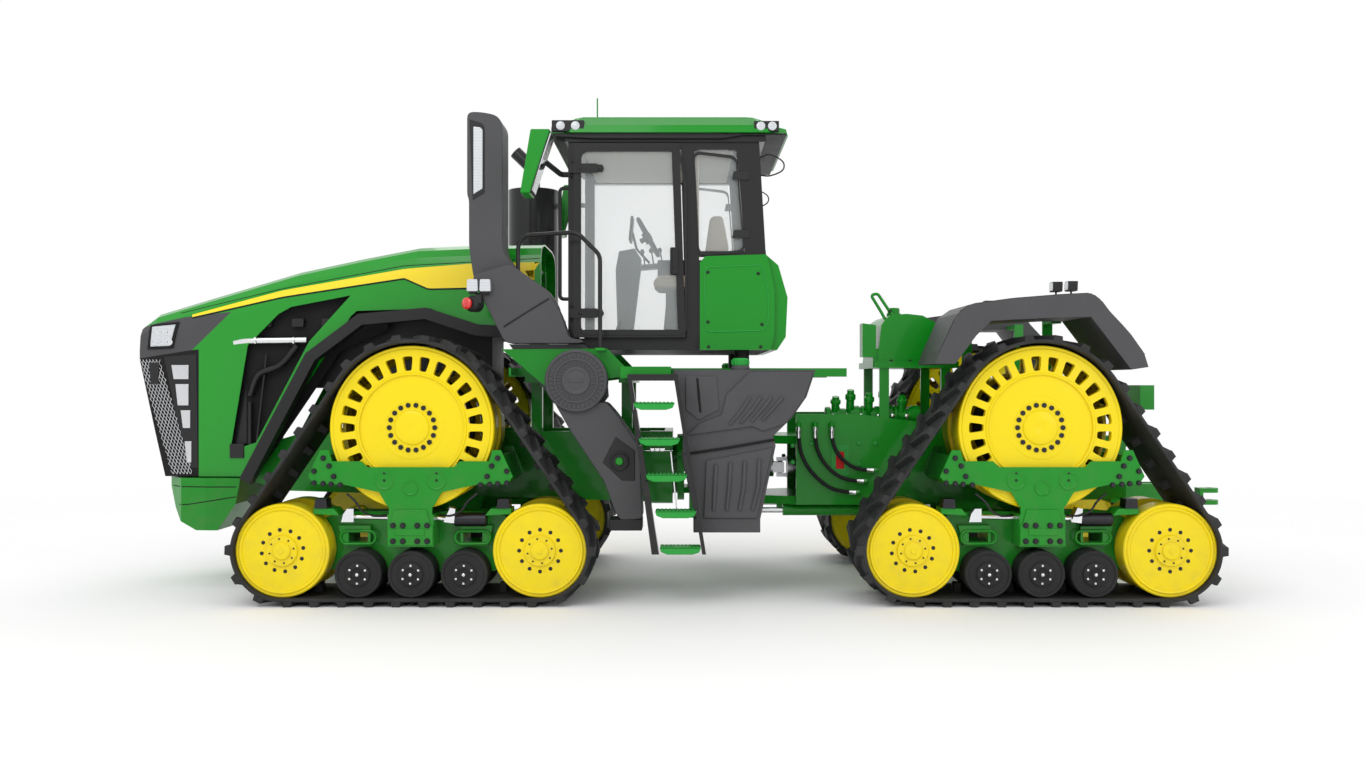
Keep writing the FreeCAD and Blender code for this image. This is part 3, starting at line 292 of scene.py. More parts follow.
class Shape:
    # points and faces of one piece, in metres in the tractor's own frame
    def __init__(self):
        self.points, self.faces, self.marks = [], [], []

    def add(self, points, faces, mark=0):
        base = len(self.points)
        self.points += [Vector(p) for p in points]
        self.faces += [[base + i for i in f] for f in faces]
        self.marks += [mark] * len(faces)

    def block(self, low, high, mark=0):
        self.prism([(low[0], low[2]), (high[0], low[2]), (high[0], high[2]), (low[0], high[2])], low[1],
                   high[1], mark)

    def prism(self, outline, start, end, mark=0, axis="y"):
        # the outline is (x, z) for axis y, (x, y) for axis z and (y, z) for axis x
        turn = {"y": lambda a, b, t: (a, t, b), "z": lambda a, b, t: (a, b, t), "x": lambda a, b,
                t: (t, a, b)}[axis]
        count = len(outline)
        points = [turn(a, b, t) for t in (start, end) for a, b in outline]
        sides = [(i, (i + 1) % count, (i + 1) % count + count, i + count) for i in range(count)]
        self.add(points, sides + [tuple(range(count))[::-1], tuple(range(count, 2 * count))], mark)

    def rings(self, rings, closed=False, mark=0, caps=True):
        count = len(rings[0])
        spans = len(rings) if closed else len(rings) - 1
        faces = []
        for r in range(spans):
            a, b = r * count, (r + 1) % len(rings) * count
            faces += [(a + i, a + (i + 1) % count, b + (i + 1) % count, b + i) for i in range(count)]
        if caps and not closed:
            faces += [tuple(range(count))[::-1], tuple(range((len(rings) - 1) * count, len(rings) * count))]
        self.add([p for ring in rings for p in ring], faces, mark)

    def lathe(self, profile, centre, axis=(0, -1, 0), sides=32, mark=0):
        # profile is (radius, offset along the axis) from one end to the other
        along = Vector(axis).normalized()
        first = along.orthogonal().normalized()
        second = along.cross(first)
        rings = []
        for radius, offset in profile:
            middlePoint = Vector(centre) + along * offset
            ring = []
            for i in range(sides):
                angle = 2 * math.pi * i / sides
                out = first * math.cos(angle) + second * math.sin(angle)
                ring.append(middlePoint + out * max(radius, 0.0003))
            rings.append(ring)
        self.rings(rings, mark=mark)

    def rod(self, start, end, radius, sides=16, mark=0, chamfer=0.0):
        start, end = Vector(start), Vector(end)
        length = (end - start).length
        edge = min(chamfer, radius * 0.5)
        profile = [(radius - edge, 0), (radius, edge), (radius, length - edge), (radius - edge, length)]
        self.lathe(profile if edge else [(radius, 0), (radius, length)], start, end - start, sides, mark)

    def tube(self, points, radius, sides=10, mark=0, closed=False):
        points = [Vector(p) for p in points]
        count = len(points)
        rings = []
        side = None
        for i, point in enumerate(points):
            before = points[i - 1] if i or closed else points[0]
            after = points[(i + 1) % count] if i < count - 1 or closed else points[-1]
            along = (after - before).normalized()
            side = along.orthogonal() if side is None else side - along * side.dot(along)
            side.normalize()
            other = along.cross(side)
            angles = [2 * math.pi * k / sides for k in range(sides)]
            rings.append([point + (side * math.cos(a) + other * math.sin(a)) * radius for a in angles])
        self.rings(rings, closed, mark)

    def mirror(self):
        points = [Vector((p.x, -p.y, p.z)) for p in self.points]
        faces, marks = [f[::-1] for f in self.faces], list(self.marks)
        base = len(self.points)
        self.points += points
        self.faces += [[base + i for i in f] for f in faces]
        self.marks += marks
        return self

    def build(self, name, body, materials, slot=None, bevel=0.0, smooth=35, steps=2):
        # a slot's name alone gives the finish
        if isinstance(materials, str):
            materials, slot = finishes[materials], materials
        mesh = bpy.data.meshes.new(name)
        mesh.from_pydata([tuple(p) for p in self.points], [], self.faces)
        mesh.polygons.foreach_set("material_index", self.marks)
        for material in materials if isinstance(materials, (list, tuple)) else [materials]:
            mesh.materials.append(material)
        work = bmesh.new()
        work.from_mesh(mesh)
        bmesh.ops.recalc_face_normals(work, faces=work.faces)
        work.to_mesh(mesh)
        work.free()
        mesh.update()
        piece = bpy.data.objects.new(name, mesh)
        bpy.context.scene.collection.objects.link(piece)
        if bevel:
            rounding = piece.modifiers.new("edges", "BEVEL")
            rounding.width, rounding.segments, rounding.limit_method = bevel, steps, "ANGLE"
            rounding.angle_limit = math.radians(32)
            rounding.use_clamp_overlap = True
        mesh.shade_smooth()
        mesh.set_sharp_from_angle(angle=math.radians(smooth))
        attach(piece, body)
        return piece


def smoothPath(corners, spread=8):
    # a Catmull-Rom line through the corners
    corners = [Vector(c) for c in corners]
    padded = [corners[0] * 2 - corners[1]] + corners + [corners[-1] * 2 - corners[-2]]
    line = []
    for a, b, c, d in zip(padded, padded[1:], padded[2:], padded[3:]):
        for k in range(spread):
            t = k / spread
            line.append((b * 2 + (c - a) * t + (a * 2 - b * 5 + c * 4 - d) * t * t
                         + (b * 3 - a - c * 3 + d) * t ** 3) / 2)
    return line + [corners[-1]]


def hexBolt(shape, place, across, height, axis=(0, -1, 0), mark=0):
    # washer and hexagon head with a chamfered top
    washer = across * 0.62
    shape.lathe([(washer, 0), (washer, height * 0.25)], place, axis, 16, mark)
    half = across * 0.56
    shape.lathe([(half, height * 0.25), (half, height * 0.85), (half * 0.82, height)], place, axis, 6, mark)


# camera: level, square to the machine's left side
view = {"place": (-0.07, -10.85, 1.70), "focalPixels": 1230.0, "widthPixels": 1365.0}
camera = bpy.data.objects.new("camera", bpy.data.cameras.new("camera"))
bpy.context.scene.collection.objects.link(camera)
camera.location = view["place"]
camera.rotation_euler = (math.radians(90), 0, 0)
camera.data.sensor_width = 36.0
camera.data.lens = 36.0 * view["focalPixels"] / view["widthPixels"]
camera.data.clip_end = 200.0
bpy.context.scene.camera = camera

studio = {"floorHalf": 60.0, "worldStrength": 1.0, "keyPower": 260.0,
          "fillPower": 90.0, "rimPower": 160.0, "fadeFrom": 0.35, "fadeTo": 0.65}
floor = bpy.data.meshes.new("floor")
h = studio["floorHalf"]
floor.from_pydata([(-h, -h, 0), (h, -h, 0), (h, h, 0), (-h, h, 0)], [], [(0, 1, 2, 3)])
floorPiece = bpy.data.objects.new("floor", floor)
bpy.context.scene.collection.objects.link(floorPiece)
paper = Finish("studioFloor", Roughness=0.9, Specular_IOR_Level=0.1)
paper.feed("Base Color", paper.blend(paper.noise(0.4, 2), (0.90, 0.90, 0.90), (0.93, 0.93, 0.93)))
# the floor fades out round the tractor, so that no horizon shows
spread = paper.node("ShaderNodeVectorMath", {"operation": "LENGTH"}, {0: paper.place}, "Value") / 20
paper.feed("Alpha", 1 - paper.node("ShaderNodeMapRange", {},
                                   {0: spread, 1: studio["fadeFrom"], 2: studio["fadeTo"]}))
floor.materials.append(paper.material)

world = bpy.data.worlds.new("studio")
bpy.context.scene.world = world
world.use_nodes = True
world.node_tree.nodes["Background"].inputs[0].default_value = (1.0, 1.0, 1.0, 1)
world.node_tree.nodes["Background"].inputs[1].default_value = studio["worldStrength"]


def softLight(name, place, target, size, power):
    lamp = bpy.data.lights.new(name, "AREA")
    lamp.shape, lamp.size, lamp.size_y, lamp.energy = "RECTANGLE", size[0], size[1], power
    holder = bpy.data.objects.new(name, lamp)
    holder.location = place
    holder.rotation_euler = (Vector(target) - Vector(place)).to_track_quat("-Z", "Y").to_euler()
    bpy.context.scene.collection.objects.link(holder)


softLight("keyLight", (-4, -9, 8), (0, 0, 1.4), (7, 4), studio["keyPower"])
softLight("fillLight", (7, -8, 4), (0, 0, 1.4), (5, 5), studio["fillPower"])
softLight("rimLight", (0, 8, 9), (0, 0, 1.5), (9, 4), studio["rimPower"])
bpy.context.scene.view_settings.view_transform = "Standard"  # plain product-photo colours
print("studio set")


# running gear
belt = {
    "circles": [(-0.985, 0.425, 0.360), (0.0, 1.365, 0.649), (0.985, 0.425, 0.360)],
    "halfWidth": 0.380, "carcass": 0.026, "tread": 0.065, "lugs": 36, "lugLength": 0.078,
    "guideHeight": 0.070, "guideLength": 0.072, "guideHalf": 0.045, "topAngle": math.radians(93.6),
}


def beltLine(circles, offset):
    # the loop at a height above the belt's inner face, as arcs and straights with their lengths
    ends = []
    for i, (xa, za, ra) in enumerate(circles):
        xb, zb, rb = circles[(i + 1) % len(circles)]
        span = math.hypot(xb - xa, zb - za)
        dx, dz = (xb - xa) / span, (zb - za) / span
        lean = (ra - rb) / span
        side = math.sqrt(1 - lean * lean)
        ends.append(math.atan2(dx * side + dz * lean, -dz * side + dx * lean))
    pieces = []
    for i, (x, z, radius) in enumerate(circles):
        start, end = ends[i - 1], ends[i]
        while end > start:
            end -= 2 * math.pi
        pieces.append(("arc", x, z, radius + offset, start, end, (start - end) * (radius + offset)))
        xb, zb, rb = circles[(i + 1) % len(circles)]
        first = (x + math.cos(end) * (radius + offset), z + math.sin(end) * (radius + offset))
        last = (xb + math.cos(end) * (rb + offset), zb + math.sin(end) * (rb + offset))
        pieces.append(("run", first, last, end, 0, 0, math.dist(first, last)))
    return pieces


beltPieces = beltLine(belt["circles"], 0.0)
beltLength = sum(p[-1] for p in beltPieces)


def onBelt(distance, height):
    # a point at a distance round the loop, standing off the inner face, with the outward direction
    distance %= beltLength
    for piece in beltPieces:
        if distance <= piece[-1]:
            break
        distance -= piece[-1]
    if piece[0] == "arc":
        angle = piece[4] - (piece[4] - piece[5]) * distance / piece[-1]
        x, z = piece[1] + math.cos(angle) * piece[3], piece[2] + math.sin(angle) * piece[3]
    else:
        angle, share = piece[3], distance / piece[-1]
        x = piece[1][0] + (piece[2][0] - piece[1][0]) * share
        z = piece[1][1] + (piece[2][1] - piece[1][1]) * share
    return x + math.cos(angle) * height, z + math.sin(angle) * height


topDistance = beltPieces[0][-1] + beltPieces[1][-1] + (beltPieces[2][4] - belt["topAngle"]) * beltPieces[2][3]


def lugBlock(shape, stations, base, top, mark=0):
    # a moulded block across the belt: each station is (y, distance, half length at the base)
    rings = []
    for y, distance, half in stations:
        ring = []
        for along, height in ((-half, base), (-half * 0.72, top), (half * 0.72, top), (half, base)):
            x, z = onBelt(distance + along, height)
            ring.append(Vector((x, y, z)))
        rings.append(ring)
    shape.rings(rings, mark=mark)


def makeBelt(name, node, body, axleX, side):
    shape = Shape()
    half, carcass = belt["halfWidth"], belt["carcass"]
    section = [(-half + 0.008, 0.0), (-half, 0.007), (-half, carcass - 0.007), (-half + 0.008, carcass),
               (half - 0.008, carcass), (half, carcass - 0.007), (half, 0.007), (half - 0.008, 0.0)]
    rings = []
    for i in range(216):
        distance = beltLength * i / 216
        ring = []
        for y, height in section:
            x, z = onBelt(distance, height)
            ring.append(Vector((x, y, z)))
        rings.append(ring)
    shape.rings(rings, closed=True)
    pitch = beltLength / belt["lugs"]
    for i in range(belt["lugs"]):
        distance = topDistance + i * pitch
        guide = belt["guideLength"] / 2
        lugBlock(shape, [(-belt["guideHalf"], distance, guide * 0.8),
                         (-belt["guideHalf"] * 0.7, distance, guide),
                         (belt["guideHalf"] * 0.7, distance, guide), (belt["guideHalf"], distance,
                                 guide * 0.8)],
                 0.002, -belt["guideHeight"])
        for hand in (-1, 1):
            start = distance + (pitch / 2 if hand > 0 else 0)
            bar = belt["lugLength"] / 2
            lugBlock(shape, [(hand * 0.020, start - 0.085, bar * 0.7), (hand * 0.060, start - 0.070, bar),
                             (hand * 0.250, start + 0.020, bar), (hand * 0.345, start + 0.045, bar * 1.1),
                             (hand * (half - 0.001), start + 0.045, bar * 0.95)],
                     carcass - 0.004, belt["tread"] - 0.0005)
    shape.points = [Vector((p.x + axleX, p.y * side + side * beltMiddle, p.z)) for p in shape.points]
    piece = shape.build(name, body, "belt_rubber", smooth=28)
    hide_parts(node)


for end, axleX, body in (("front", frontAxle, "front_unit"), ("rear", rearAxle, "rear_unit")):
    for hand, side in (("left", -1), ("right", 1)):
        makeBelt(end + hand.capitalize() + "Belt", f"{end}_{hand}_track_belt", body, axleX, side)
print("belts made, loop length", round(beltLength, 3))

gear = {
    "hubFace": -0.282, "boltCount": 18, "boltRing": 0.174,
    "idlerDish": -0.301, "idlerHub": -0.342, "idlerReach": 0.985, "idlerHeight": 0.425,
    "rollerPitch": 0.406, "rollerHeight": 0.245, "plateFace": -0.350,
}


def circlePlaces(count, radius, start=0.0):
    turns = [start + 2 * math.pi * i / count for i in range(count)]
    return [(math.cos(t) * radius, math.sin(t) * radius) for t in turns]


def makeGear(end, axleX, body):
    # drawn on the left side, then mirrored: bolts, caps and covers of a track unit
    dark, yellowParts, rollerParts, greenParts, bright = Shape(), Shape(), Shape(), Shape(), Shape()

    def at(x, y, z):
        return (axleX + x, -beltMiddle + y, z)

    hub, plate = gear["hubFace"], gear["plateFace"]
    yellowParts.lathe([(0.250, 0.0), (0.250, 0.006), (0.242, 0.012), (0.205, 0.012), (0.200, 0.008)],
                      at(0, hub + 0.002, axleHeight), sides=64)
    yellowParts.lathe([(0.146, 0.0), (0.146, 0.004), (0.135, 0.010), (0.128, 0.022), (0.105, 0.030),
                       (0.030, 0.033),
                       (0.022, 0.030), (0.0, 0.030)], at(0, hub + 0.002, axleHeight), sides=56)
    yellowParts.lathe([(0.404, -0.012), (0.402, 0.004), (0.408, 0.010), (0.418, 0.010), (0.424, 0.002),
                       (0.424, -0.01)],
                      at(0, -0.300, axleHeight), sides=72)
    for x, z in circlePlaces(gear["boltCount"], gear["boltRing"]):
        hexBolt(dark, at(x, hub, axleHeight + z), 0.037, 0.018)
    for side in (-1, 1):
        cx, cz = side * gear["idlerReach"], gear["idlerHeight"]
        yellowParts.lathe([(0.068, 0.0), (0.068, 0.010), (0.060, 0.017), (0.022, 0.020), (0.018, 0.026),
                           (0.0, 0.026)],
                          at(cx, gear["idlerHub"], cz), sides=40)
        yellowParts.lathe([(0.330, -0.010), (0.334, 0.006), (0.326, 0.014), (0.312, 0.010), (0.304, -0.002)],
                          at(cx, -0.322, cz), sides=72)
        yellowParts.lathe([(0.186, -0.006), (0.184, 0.005), (0.138, 0.007), (0.134, -0.006)],
                          at(cx, gear["idlerDish"], cz), sides=56)
        for x, z in circlePlaces(12, 0.160, 0.0 if side > 0 else 0.13):
            hexBolt(dark, at(cx + x, gear["idlerDish"] - 0.004, cz + z), 0.030, 0.018)
        for x, z in circlePlaces(8, 0.094, 0.2):
            dark.lathe([(0.007, 0), (0.007, 0.005), (0.004, 0.007)], at(cx + x, gear["idlerHub"], cz + z),
                       sides=10)
    for i in (-1, 0, 1):
        cx, cz = i * gear["rollerPitch"], gear["rollerHeight"]
        rollerParts.lathe([(0.176, 0.0), (0.178, 0.004), (0.172, 0.010), (0.156, 0.008), (0.150, -0.004)],
                          at(cx, -0.330, cz), sides=56)
        rollerParts.lathe([(0.092, -0.03), (0.090, 0.004), (0.082, 0.008), (0.050, 0.008), (0.046, 0.002),
                           (0.030, 0.002), (0.028, 0.012), (0.0, 0.014)], at(cx, -0.342, cz), sides=40)
        for k in range(6):
            turn = 2 * math.pi * (k + 0.5) / 6
            x0, z0, x1, z1 = (math.cos(turn) * 0.088, math.sin(turn) * 0.088, math.cos(turn) * 0.152,
                              math.sin(turn) * 0.152)
            rollerParts.tube([at(cx + x0, -0.322, cz + z0), at(cx + x1, -0.318, cz + z1)], 0.011, 8)
        for x, z in circlePlaces(6, 0.068, 0.5):
            bright.lathe([(0.010, 0), (0.010, 0.008), (0.006, 0.012)], at(cx + x, -0.350, cz + z), sides=12)
        bright.lathe([(0.012, 0), (0.012, 0.010), (0.007, 0.013)], at(cx, -0.354, cz), sides=12)
    flange = [(-0.665, 1.135), (-0.620, 1.075), (-0.585, 0.995), (-0.735, 1.035), (-0.735, 0.945),
              (-0.665, 0.940),
              (-0.605, 0.935), (-0.535, 0.930)]
    for x, z in flange + [(-x, z) for x, z in flange]:
        hexBolt(dark, at(x, plate, z), 0.034, 0.020)
    for x in (-0.200, 0.200):
        for z in (0.965, 1.020):
            hexBolt(dark, at(x, plate, z), 0.016, 0.008)
        greenParts.lathe([(0.075, 0), (0.072, 0.006), (0.062, 0.008), (0.058, 0.003), (0.0, 0.003)],
                         at(x, plate + 0.001, 0.962), sides=36)
    greenParts.lathe([(0.060, 0), (0.058, 0.008), (0.048, 0.010), (0.044, 0.004), (0.0, 0.004)],
                     at(0, plate + 0.001, 0.905), sides=36)
    block = [(-0.172, 0.470), (0.172, 0.470), (0.172, 0.620), (0.150, 0.640), (0.122, 0.742), (-0.122, 0.742),
             (-0.150, 0.640), (-0.172, 0.620)]
    greenParts.prism([(axleX + x, z) for x, z in block], -beltMiddle - 0.362, -beltMiddle - 0.352)
    greenParts.prism([(axleX + x, z) for x, z in ((-0.110, 0.545), (0.110, 0.545), (0.110, 0.600),
                                                  (-0.110, 0.600))],
                     -beltMiddle - 0.368, -beltMiddle - 0.360)
    for x in (-0.145, -0.070, 0.040, 0.115):
        for z in (0.502, 0.622):
            hexBolt(dark, at(x + 0.015, -0.362, z), 0.036, 0.020)
    for side in (-1, 1):
        # rounded rim round each window of the beam, and the stop above it
        cx = side * 0.445
        rim = []
        for k in range(24):
            turn = 2 * math.pi * k / 24
            rim.append(at(cx + math.copysign(0.085, math.cos(turn)) + 0.052 * math.cos(turn), -0.176,
                          0.508 + 0.052 * math.sin(turn)))
        greenParts.tube(rim, 0.012, 8, closed=True)
        sx = side * 0.700
        dark.prism([(axleX + sx - 0.050, 0.745), (axleX + sx + 0.050, 0.745), (axleX + sx + 0.042, 0.818),
                    (axleX + sx - 0.042, 0.818)], -beltMiddle - 0.300, -beltMiddle - 0.170)
        greenParts.prism([(axleX + side * 0.56, 0.690), (axleX + side * 0.760, 0.700),
                          (axleX + side * 0.760, 0.748),
                          (axleX + side * 0.600, 0.742)], -beltMiddle - 0.290, -beltMiddle - 0.105)
    # tensioner: barrel, rod, and the white clevis at the far end
    dark.rod(at(0.320, -0.235, 0.655), at(0.565, -0.235, 0.655), 0.054, 28, chamfer=0.006)
    dark.rod(at(0.300, -0.235, 0.655), at(0.330, -0.235, 0.655), 0.040, 24)
    bright.rod(at(-0.460, -0.235, 0.675), at(0.310, -0.235, 0.660), 0.019, 20)
    bright.prism([(axleX - 0.545, 0.640), (axleX - 0.450, 0.640), (axleX - 0.450, 0.742),
                  (axleX - 0.500, 0.742),
                  (axleX - 0.530, 0.700)], -beltMiddle - 0.290, -beltMiddle - 0.200)
    bright.prism([(axleX + 0.240, 0.640), (axleX + 0.320, 0.630), (axleX + 0.330, 0.740),
                  (axleX + 0.290, 0.750)],
                 -beltMiddle - 0.285, -beltMiddle - 0.190)
    hose = smoothPath([at(-0.500, -0.300, 0.860), at(-0.430, -0.310, 0.800), at(-0.380, -0.310, 0.730),
                       at(-0.300, -0.290, 0.690), at(-0.200, -0.260, 0.690)])
    dark.tube(hose, 0.009, 8)
    dark.tube([(2 * axleX - p[0], p[1], p[2]) for p in hose], 0.009, 8)
    names = (("Bolts", dark, "wheelBolt", "black_metal", 0.0),
             ("WheelCaps", yellowParts, "wheel_yellow", "wheel_yellow", 0),
             ("RollerRims", rollerParts, "roller_black", "roller_black", 0), ("Covers", greenParts,
                     "frame_green",
             "frame_green", 0.004), ("BrightParts", bright, "chrome_rod", "chrome_rod", 0.0))
    for word, shape, material, slot, bevel in names:
        chosen = finishes.get(material) or extras[material]
        shape.mirror().build(end + word, body, [chosen], slot, bevel=bevel)


makeGear("front", frontAxle, "front_unit")
makeGear("rear", rearAxle, "rear_unit")
print("running gear made")

# drive wheels: slotted discs with a rolled rim, a dish and a raised hub, and a near-black drum inside as
# painted shade
driveWheel = {
    "slots": 25, "slotIn": 0.437, "slotOut": 0.548, "slotShare": 0.545, "flare": 0.065,
    "face": -0.302, "depth": 0.055,
    "dish": [(0.0, -0.284), (0.282, -0.284), (0.294, -0.279), (0.308, -0.250), (0.326, -0.238),
             (0.386, -0.258),
             (0.402, -0.286), (0.416, -0.302)],
    "rim": [(0.584, -0.302), (0.600, -0.302), (0.606, -0.296), (0.612, -0.296), (0.624, -0.300),
            (0.631, -0.292),
            (0.632, -0.272), (0.632, -0.070), (0.604, -0.070), (0.604, -0.240)],
    "cornerSteps": 8,
}


def wheelRing(centre, outwards, places):
    # places are (radius, angle, offset), offset running in from the disc's outer side
    return [Vector((centre[0] + r * math.cos(t), centre[1] - outwards * y,
                    centre[2] + r * math.sin(t))) for r, t, y in places]


def slottedDisc(shape, centre, outwards):
    wheel = driveWheel
    inner, outer = wheel["dish"][-1][0], wheel["rim"][0][0]
    pitch = 2 * math.pi / wheel["slots"]
    slotMiddle, slotHalf = (wheel["slotIn"] + wheel["slotOut"]) / 2, (wheel["slotOut"] - wheel["slotIn"]) / 2
    corners = [(-1, -1), (1, -1), (1, 1), (-1, 1)]
    for k in range(wheel["slots"]):
        middleTurn = pitch * (k + 0.5)
        border, slot = [], []
        for (u, v), (nextU, nextV) in zip(corners, corners[1:] + corners[:1]):
            for step in range(wheel["cornerSteps"]):
                t = step / wheel["cornerSteps"]
                a, b = u + (nextU - u) * t, v + (nextV - v) * t
                border.append(((inner + outer) / 2 + b * (outer - inner) / 2, middleTurn + a * pitch / 2))
                squeeze = (abs(a) ** 6 + abs(b) ** 6) ** (1 / 6)  # a square squeezed to a rounded slot
                a, b = a / squeeze, b / squeeze
                radius = slotMiddle + b * slotHalf
                slot.append((radius, middleTurn + a * pitch / 2 * (wheel["slotShare"] + wheel["flare"] * b)))
        rows = [(border, 0.0), (slot, 0.0), (slot, 0.006), (slot, wheel["depth"])]
        points = []
        for row, depth in rows:
            points += wheelRing(centre, outwards, [(r, t, wheel["face"] + depth) for r, t in row])
        count = len(border)
        shape.add(points,
                  [(row * count + i, row * count + (i + 1) % count, (row + 1) * count + (i + 1) % count,
                            (row + 1) * count + i) for row in range(3) for i in range(count)], 0)


def makeDriveWheels(end, axleX, body):
    shape = Shape()
    sides = driveWheel["slots"] * driveWheel["cornerSteps"]
    turns = [2 * math.pi * i / sides for i in range(sides)]
    for side in (-1, 1):
        centre = (axleX, side * beltMiddle, axleHeight)
        for outwards in (-1, 1):
            for profile in (driveWheel["dish"], driveWheel["rim"]):
                shape.rings([wheelRing(centre, outwards, [(max(r, 0.0003), t, y) for t in turns]) for r,
                             y in profile],
                            closed=False, caps=False)
            slottedDisc(shape, centre, outwards)
        shape.lathe([(0.255, -0.270), (0.255, 0.270)], centre, (0, 1, 0), 64)
        # the near-black drum inside the wheel is painted shade
        shape.lathe([(0.400, -0.232), (0.400, 0.232)], centre, (0, 1, 0), 64, 1)
        for x, z in circlePlaces(driveWheel["slots"], 0.594):
            shape.rod((axleX + x, centre[1] - 0.27, axleHeight + z),
                      (axleX + x, centre[1] + 0.27, axleHeight + z), 0.014, 8)
    piece = shape.build(end + "DriveWheels", body, [finishes["wheel_yellow"], extras["darkTrimAndShade"]],
                        "wheel_yellow", smooth=40)
    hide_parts(end + "_drive_wheels")


for end, axleX, body in (("front", frontAxle, "front_unit"), ("rear", rearAxle, "rear_unit")):
    makeDriveWheels(end, axleX, body)
print("drive wheels made")

# hood, nose and grille
def skinOf(node):
    mesh = nodes[node].data
    return BVHTree.FromPolygons([v.co for v in mesh.vertices], [tuple(p.vertices) for p in mesh.polygons])


def onSide(tree, x, z, lift, side=-1):
    # where a line across the machine first meets a skin, lifted off it
    hit = tree.ray_cast(Vector((x, side * 3, z)), Vector((0, -side, 0)))[0]
    return Vector((x, hit.y + side * lift, z)) if hit else None


def onFront(tree, y, z, lift):
    hit = tree.ray_cast(Vector((-8, y, z)), Vector((1, 0, 0)))[0]
    return Vector((hit.x - lift, y, z)) if hit else None


def along(line, t):
    # the point at share t of a line of (x, z) corners
    lengths = [math.dist(a, b) for a, b in zip(line, line[1:])]
    rest = t * sum(lengths)
    for (a, b), length in zip(zip(line, line[1:]), lengths):
        if rest <= length:
            break
        rest -= length
    share = min(1.0, rest / length)
    return a[0] + (b[0] - a[0]) * share, a[1] + (b[1] - a[1]) * share


def skinStrip(shape, tree, upper, lower, lift, columns=40, rows=3, mark=0, sink=0.006):
    # a thin panel between two lines, laid on the skin of the left side
    front, back = [], []
    for i in range(columns + 1):
        a, b = along(upper, i / columns), along(lower, i / columns)
        for k in range(rows + 1):
            v = k / rows
            x, z = a[0] + (b[0] - a[0]) * v, a[1] + (b[1] - a[1]) * v
            point = onSide(tree, x, z, lift)
            if point is None:
                near = tree.find_nearest(Vector((x, -0.55, z)))[0]
                point = Vector((x, near.y - lift, z))
            front.append(point)
            back.append(point + Vector((0, lift + sink, 0)))
    wide = rows + 1
    faces = []
    total = len(front)
    for i in range(columns):
        for k in range(rows):
            a = i * wide + k
            faces.append((a, a + 1, a + wide + 1, a + wide))
            faces.append((total + a, total + a + wide, total + a + wide + 1, total + a + 1))
        for k in (0, rows):
            a, b = i * wide + k, (i + 1) * wide + k
            faces.append((a, b, total + b, total + a))
    for i in (0, columns):
        for k in range(rows):
            a, b = i * wide + k, i * wide + k + 1
            faces.append((a, b, total + b, total + a))
    shape.add(front + back, faces, mark)


hoodSkin, noseSkin, grilleSkin = skinOf("hood"), skinOf("nose_panel"), skinOf("grille")
stripe = {
    "upper": [(-4.19, 2.283), (-3.42, 2.482), (-2.39, 2.660), (-1.83, 2.705), (-1.262, 2.718)],
    "lower": [(-4.19, 2.262), (-3.42, 2.430), (-2.39, 2.585), (-2.19, 2.497), (-1.83, 2.505),
              (-1.262, 2.510)],
    "lift": 0.004,
}
stripeShape = Shape()
skinStrip(stripeShape, hoodSkin, stripe["upper"], stripe["lower"], stripe["lift"], 70)
stripeShape.mirror().build("hoodStripe", "hood", extras["stripe"])

noseShape = Shape()
lineUnder = [(x, z - 0.014) for x, z in stripe["lower"]]
skinStrip(noseShape, hoodSkin, [(x, z - 0.003) for x, z in stripe["lower"]], lineUnder, 0.003, 70, 1)
skinStrip(noseShape, hoodSkin, [(-4.30, 2.300), (-3.42, 2.500), (-2.39, 2.690), (-1.262, 2.752)],
          [(-4.30, 2.294), (-3.42, 2.494), (-2.39, 2.684), (-1.262, 2.746)], 0.001, 70, 1)
skinStrip(noseShape, noseSkin, [(-4.560, 2.200), (-4.300, 2.222)], [(-4.575, 1.990), (-4.350, 2.000)],
          0.010, 14, 6)
bumperSkin = skinOf("front_bumper")
seamShape = Shape()
skinStrip(seamShape, bumperSkin, [(-4.380, 0.846), (-3.790, 0.846)], [(-4.380, 0.838), (-3.790, 0.838)],
          0.0015, 24, 1)
skinStrip(seamShape, bumperSkin, [(-4.290, 0.696), (-4.215, 0.696), (-3.790, 0.764)],
          [(-4.290, 0.688), (-4.215, 0.688), (-3.790, 0.756)], 0.0015, 24, 1)
seamShape.mirror().build("bumperSeams", "front_unit", extras["darkTrimAndShade"], "frame_green")
noseShape.mirror().build("noseTrims", "hood", extras["darkTrimAndShade"], "black_plastic")

lampShape = Shape()
skinStrip(lampShape, noseSkin, [(-4.535, 2.182), (-4.328, 2.200)], [(-4.545, 2.015), (-4.372, 2.020)],
          0.018, 12, 6)
for inner, outer in ((0.10, 0.27), (0.29, 0.43)):
    grid = []
    for i in range(9):
        y = -(inner + (outer - inner) * i / 8)
        grid.append([onFront(noseSkin, y, z, 0.010) for z in (2.010, 2.050, 2.090, 2.130)])
    if all(p for row in grid for p in row):
        back = [[p + Vector((0.022, 0, 0)) for p in row] for row in grid]
        lampShape.rings([row + other[::-1] for row, other in zip(grid, back)])
lampShape.mirror()
lampRings = Shape()
for z in (2.052, 2.132):
    for x in (-4.500, -4.430, -4.375):
        spot = onSide(noseSkin, x, z, 0.019)
        lampRings.lathe([(0.026, -0.004), (0.026, 0.003), (0.019, 0.003), (0.016, -0.001), (0.0, -0.001)],
                        spot, (0, -1, 0), 24)
lampRings.mirror().build("headlampRings", "hood", "chrome_rod")
lampShape.build("headlamps", "hood", extras["headlamp"], "grille_silver", bevel=0.004)

# the bright mesh in front, then a dark strut and the radiator guard behind it
mesh = {"pitch": 0.030, "wire": 0.0028, "top": 1.905, "bottom": 0.945}
wires = Shape()


def frontEdge(z):
    return -4.705 + (mesh["top"] - z) / (mesh["top"] - mesh["bottom"]) * 0.285


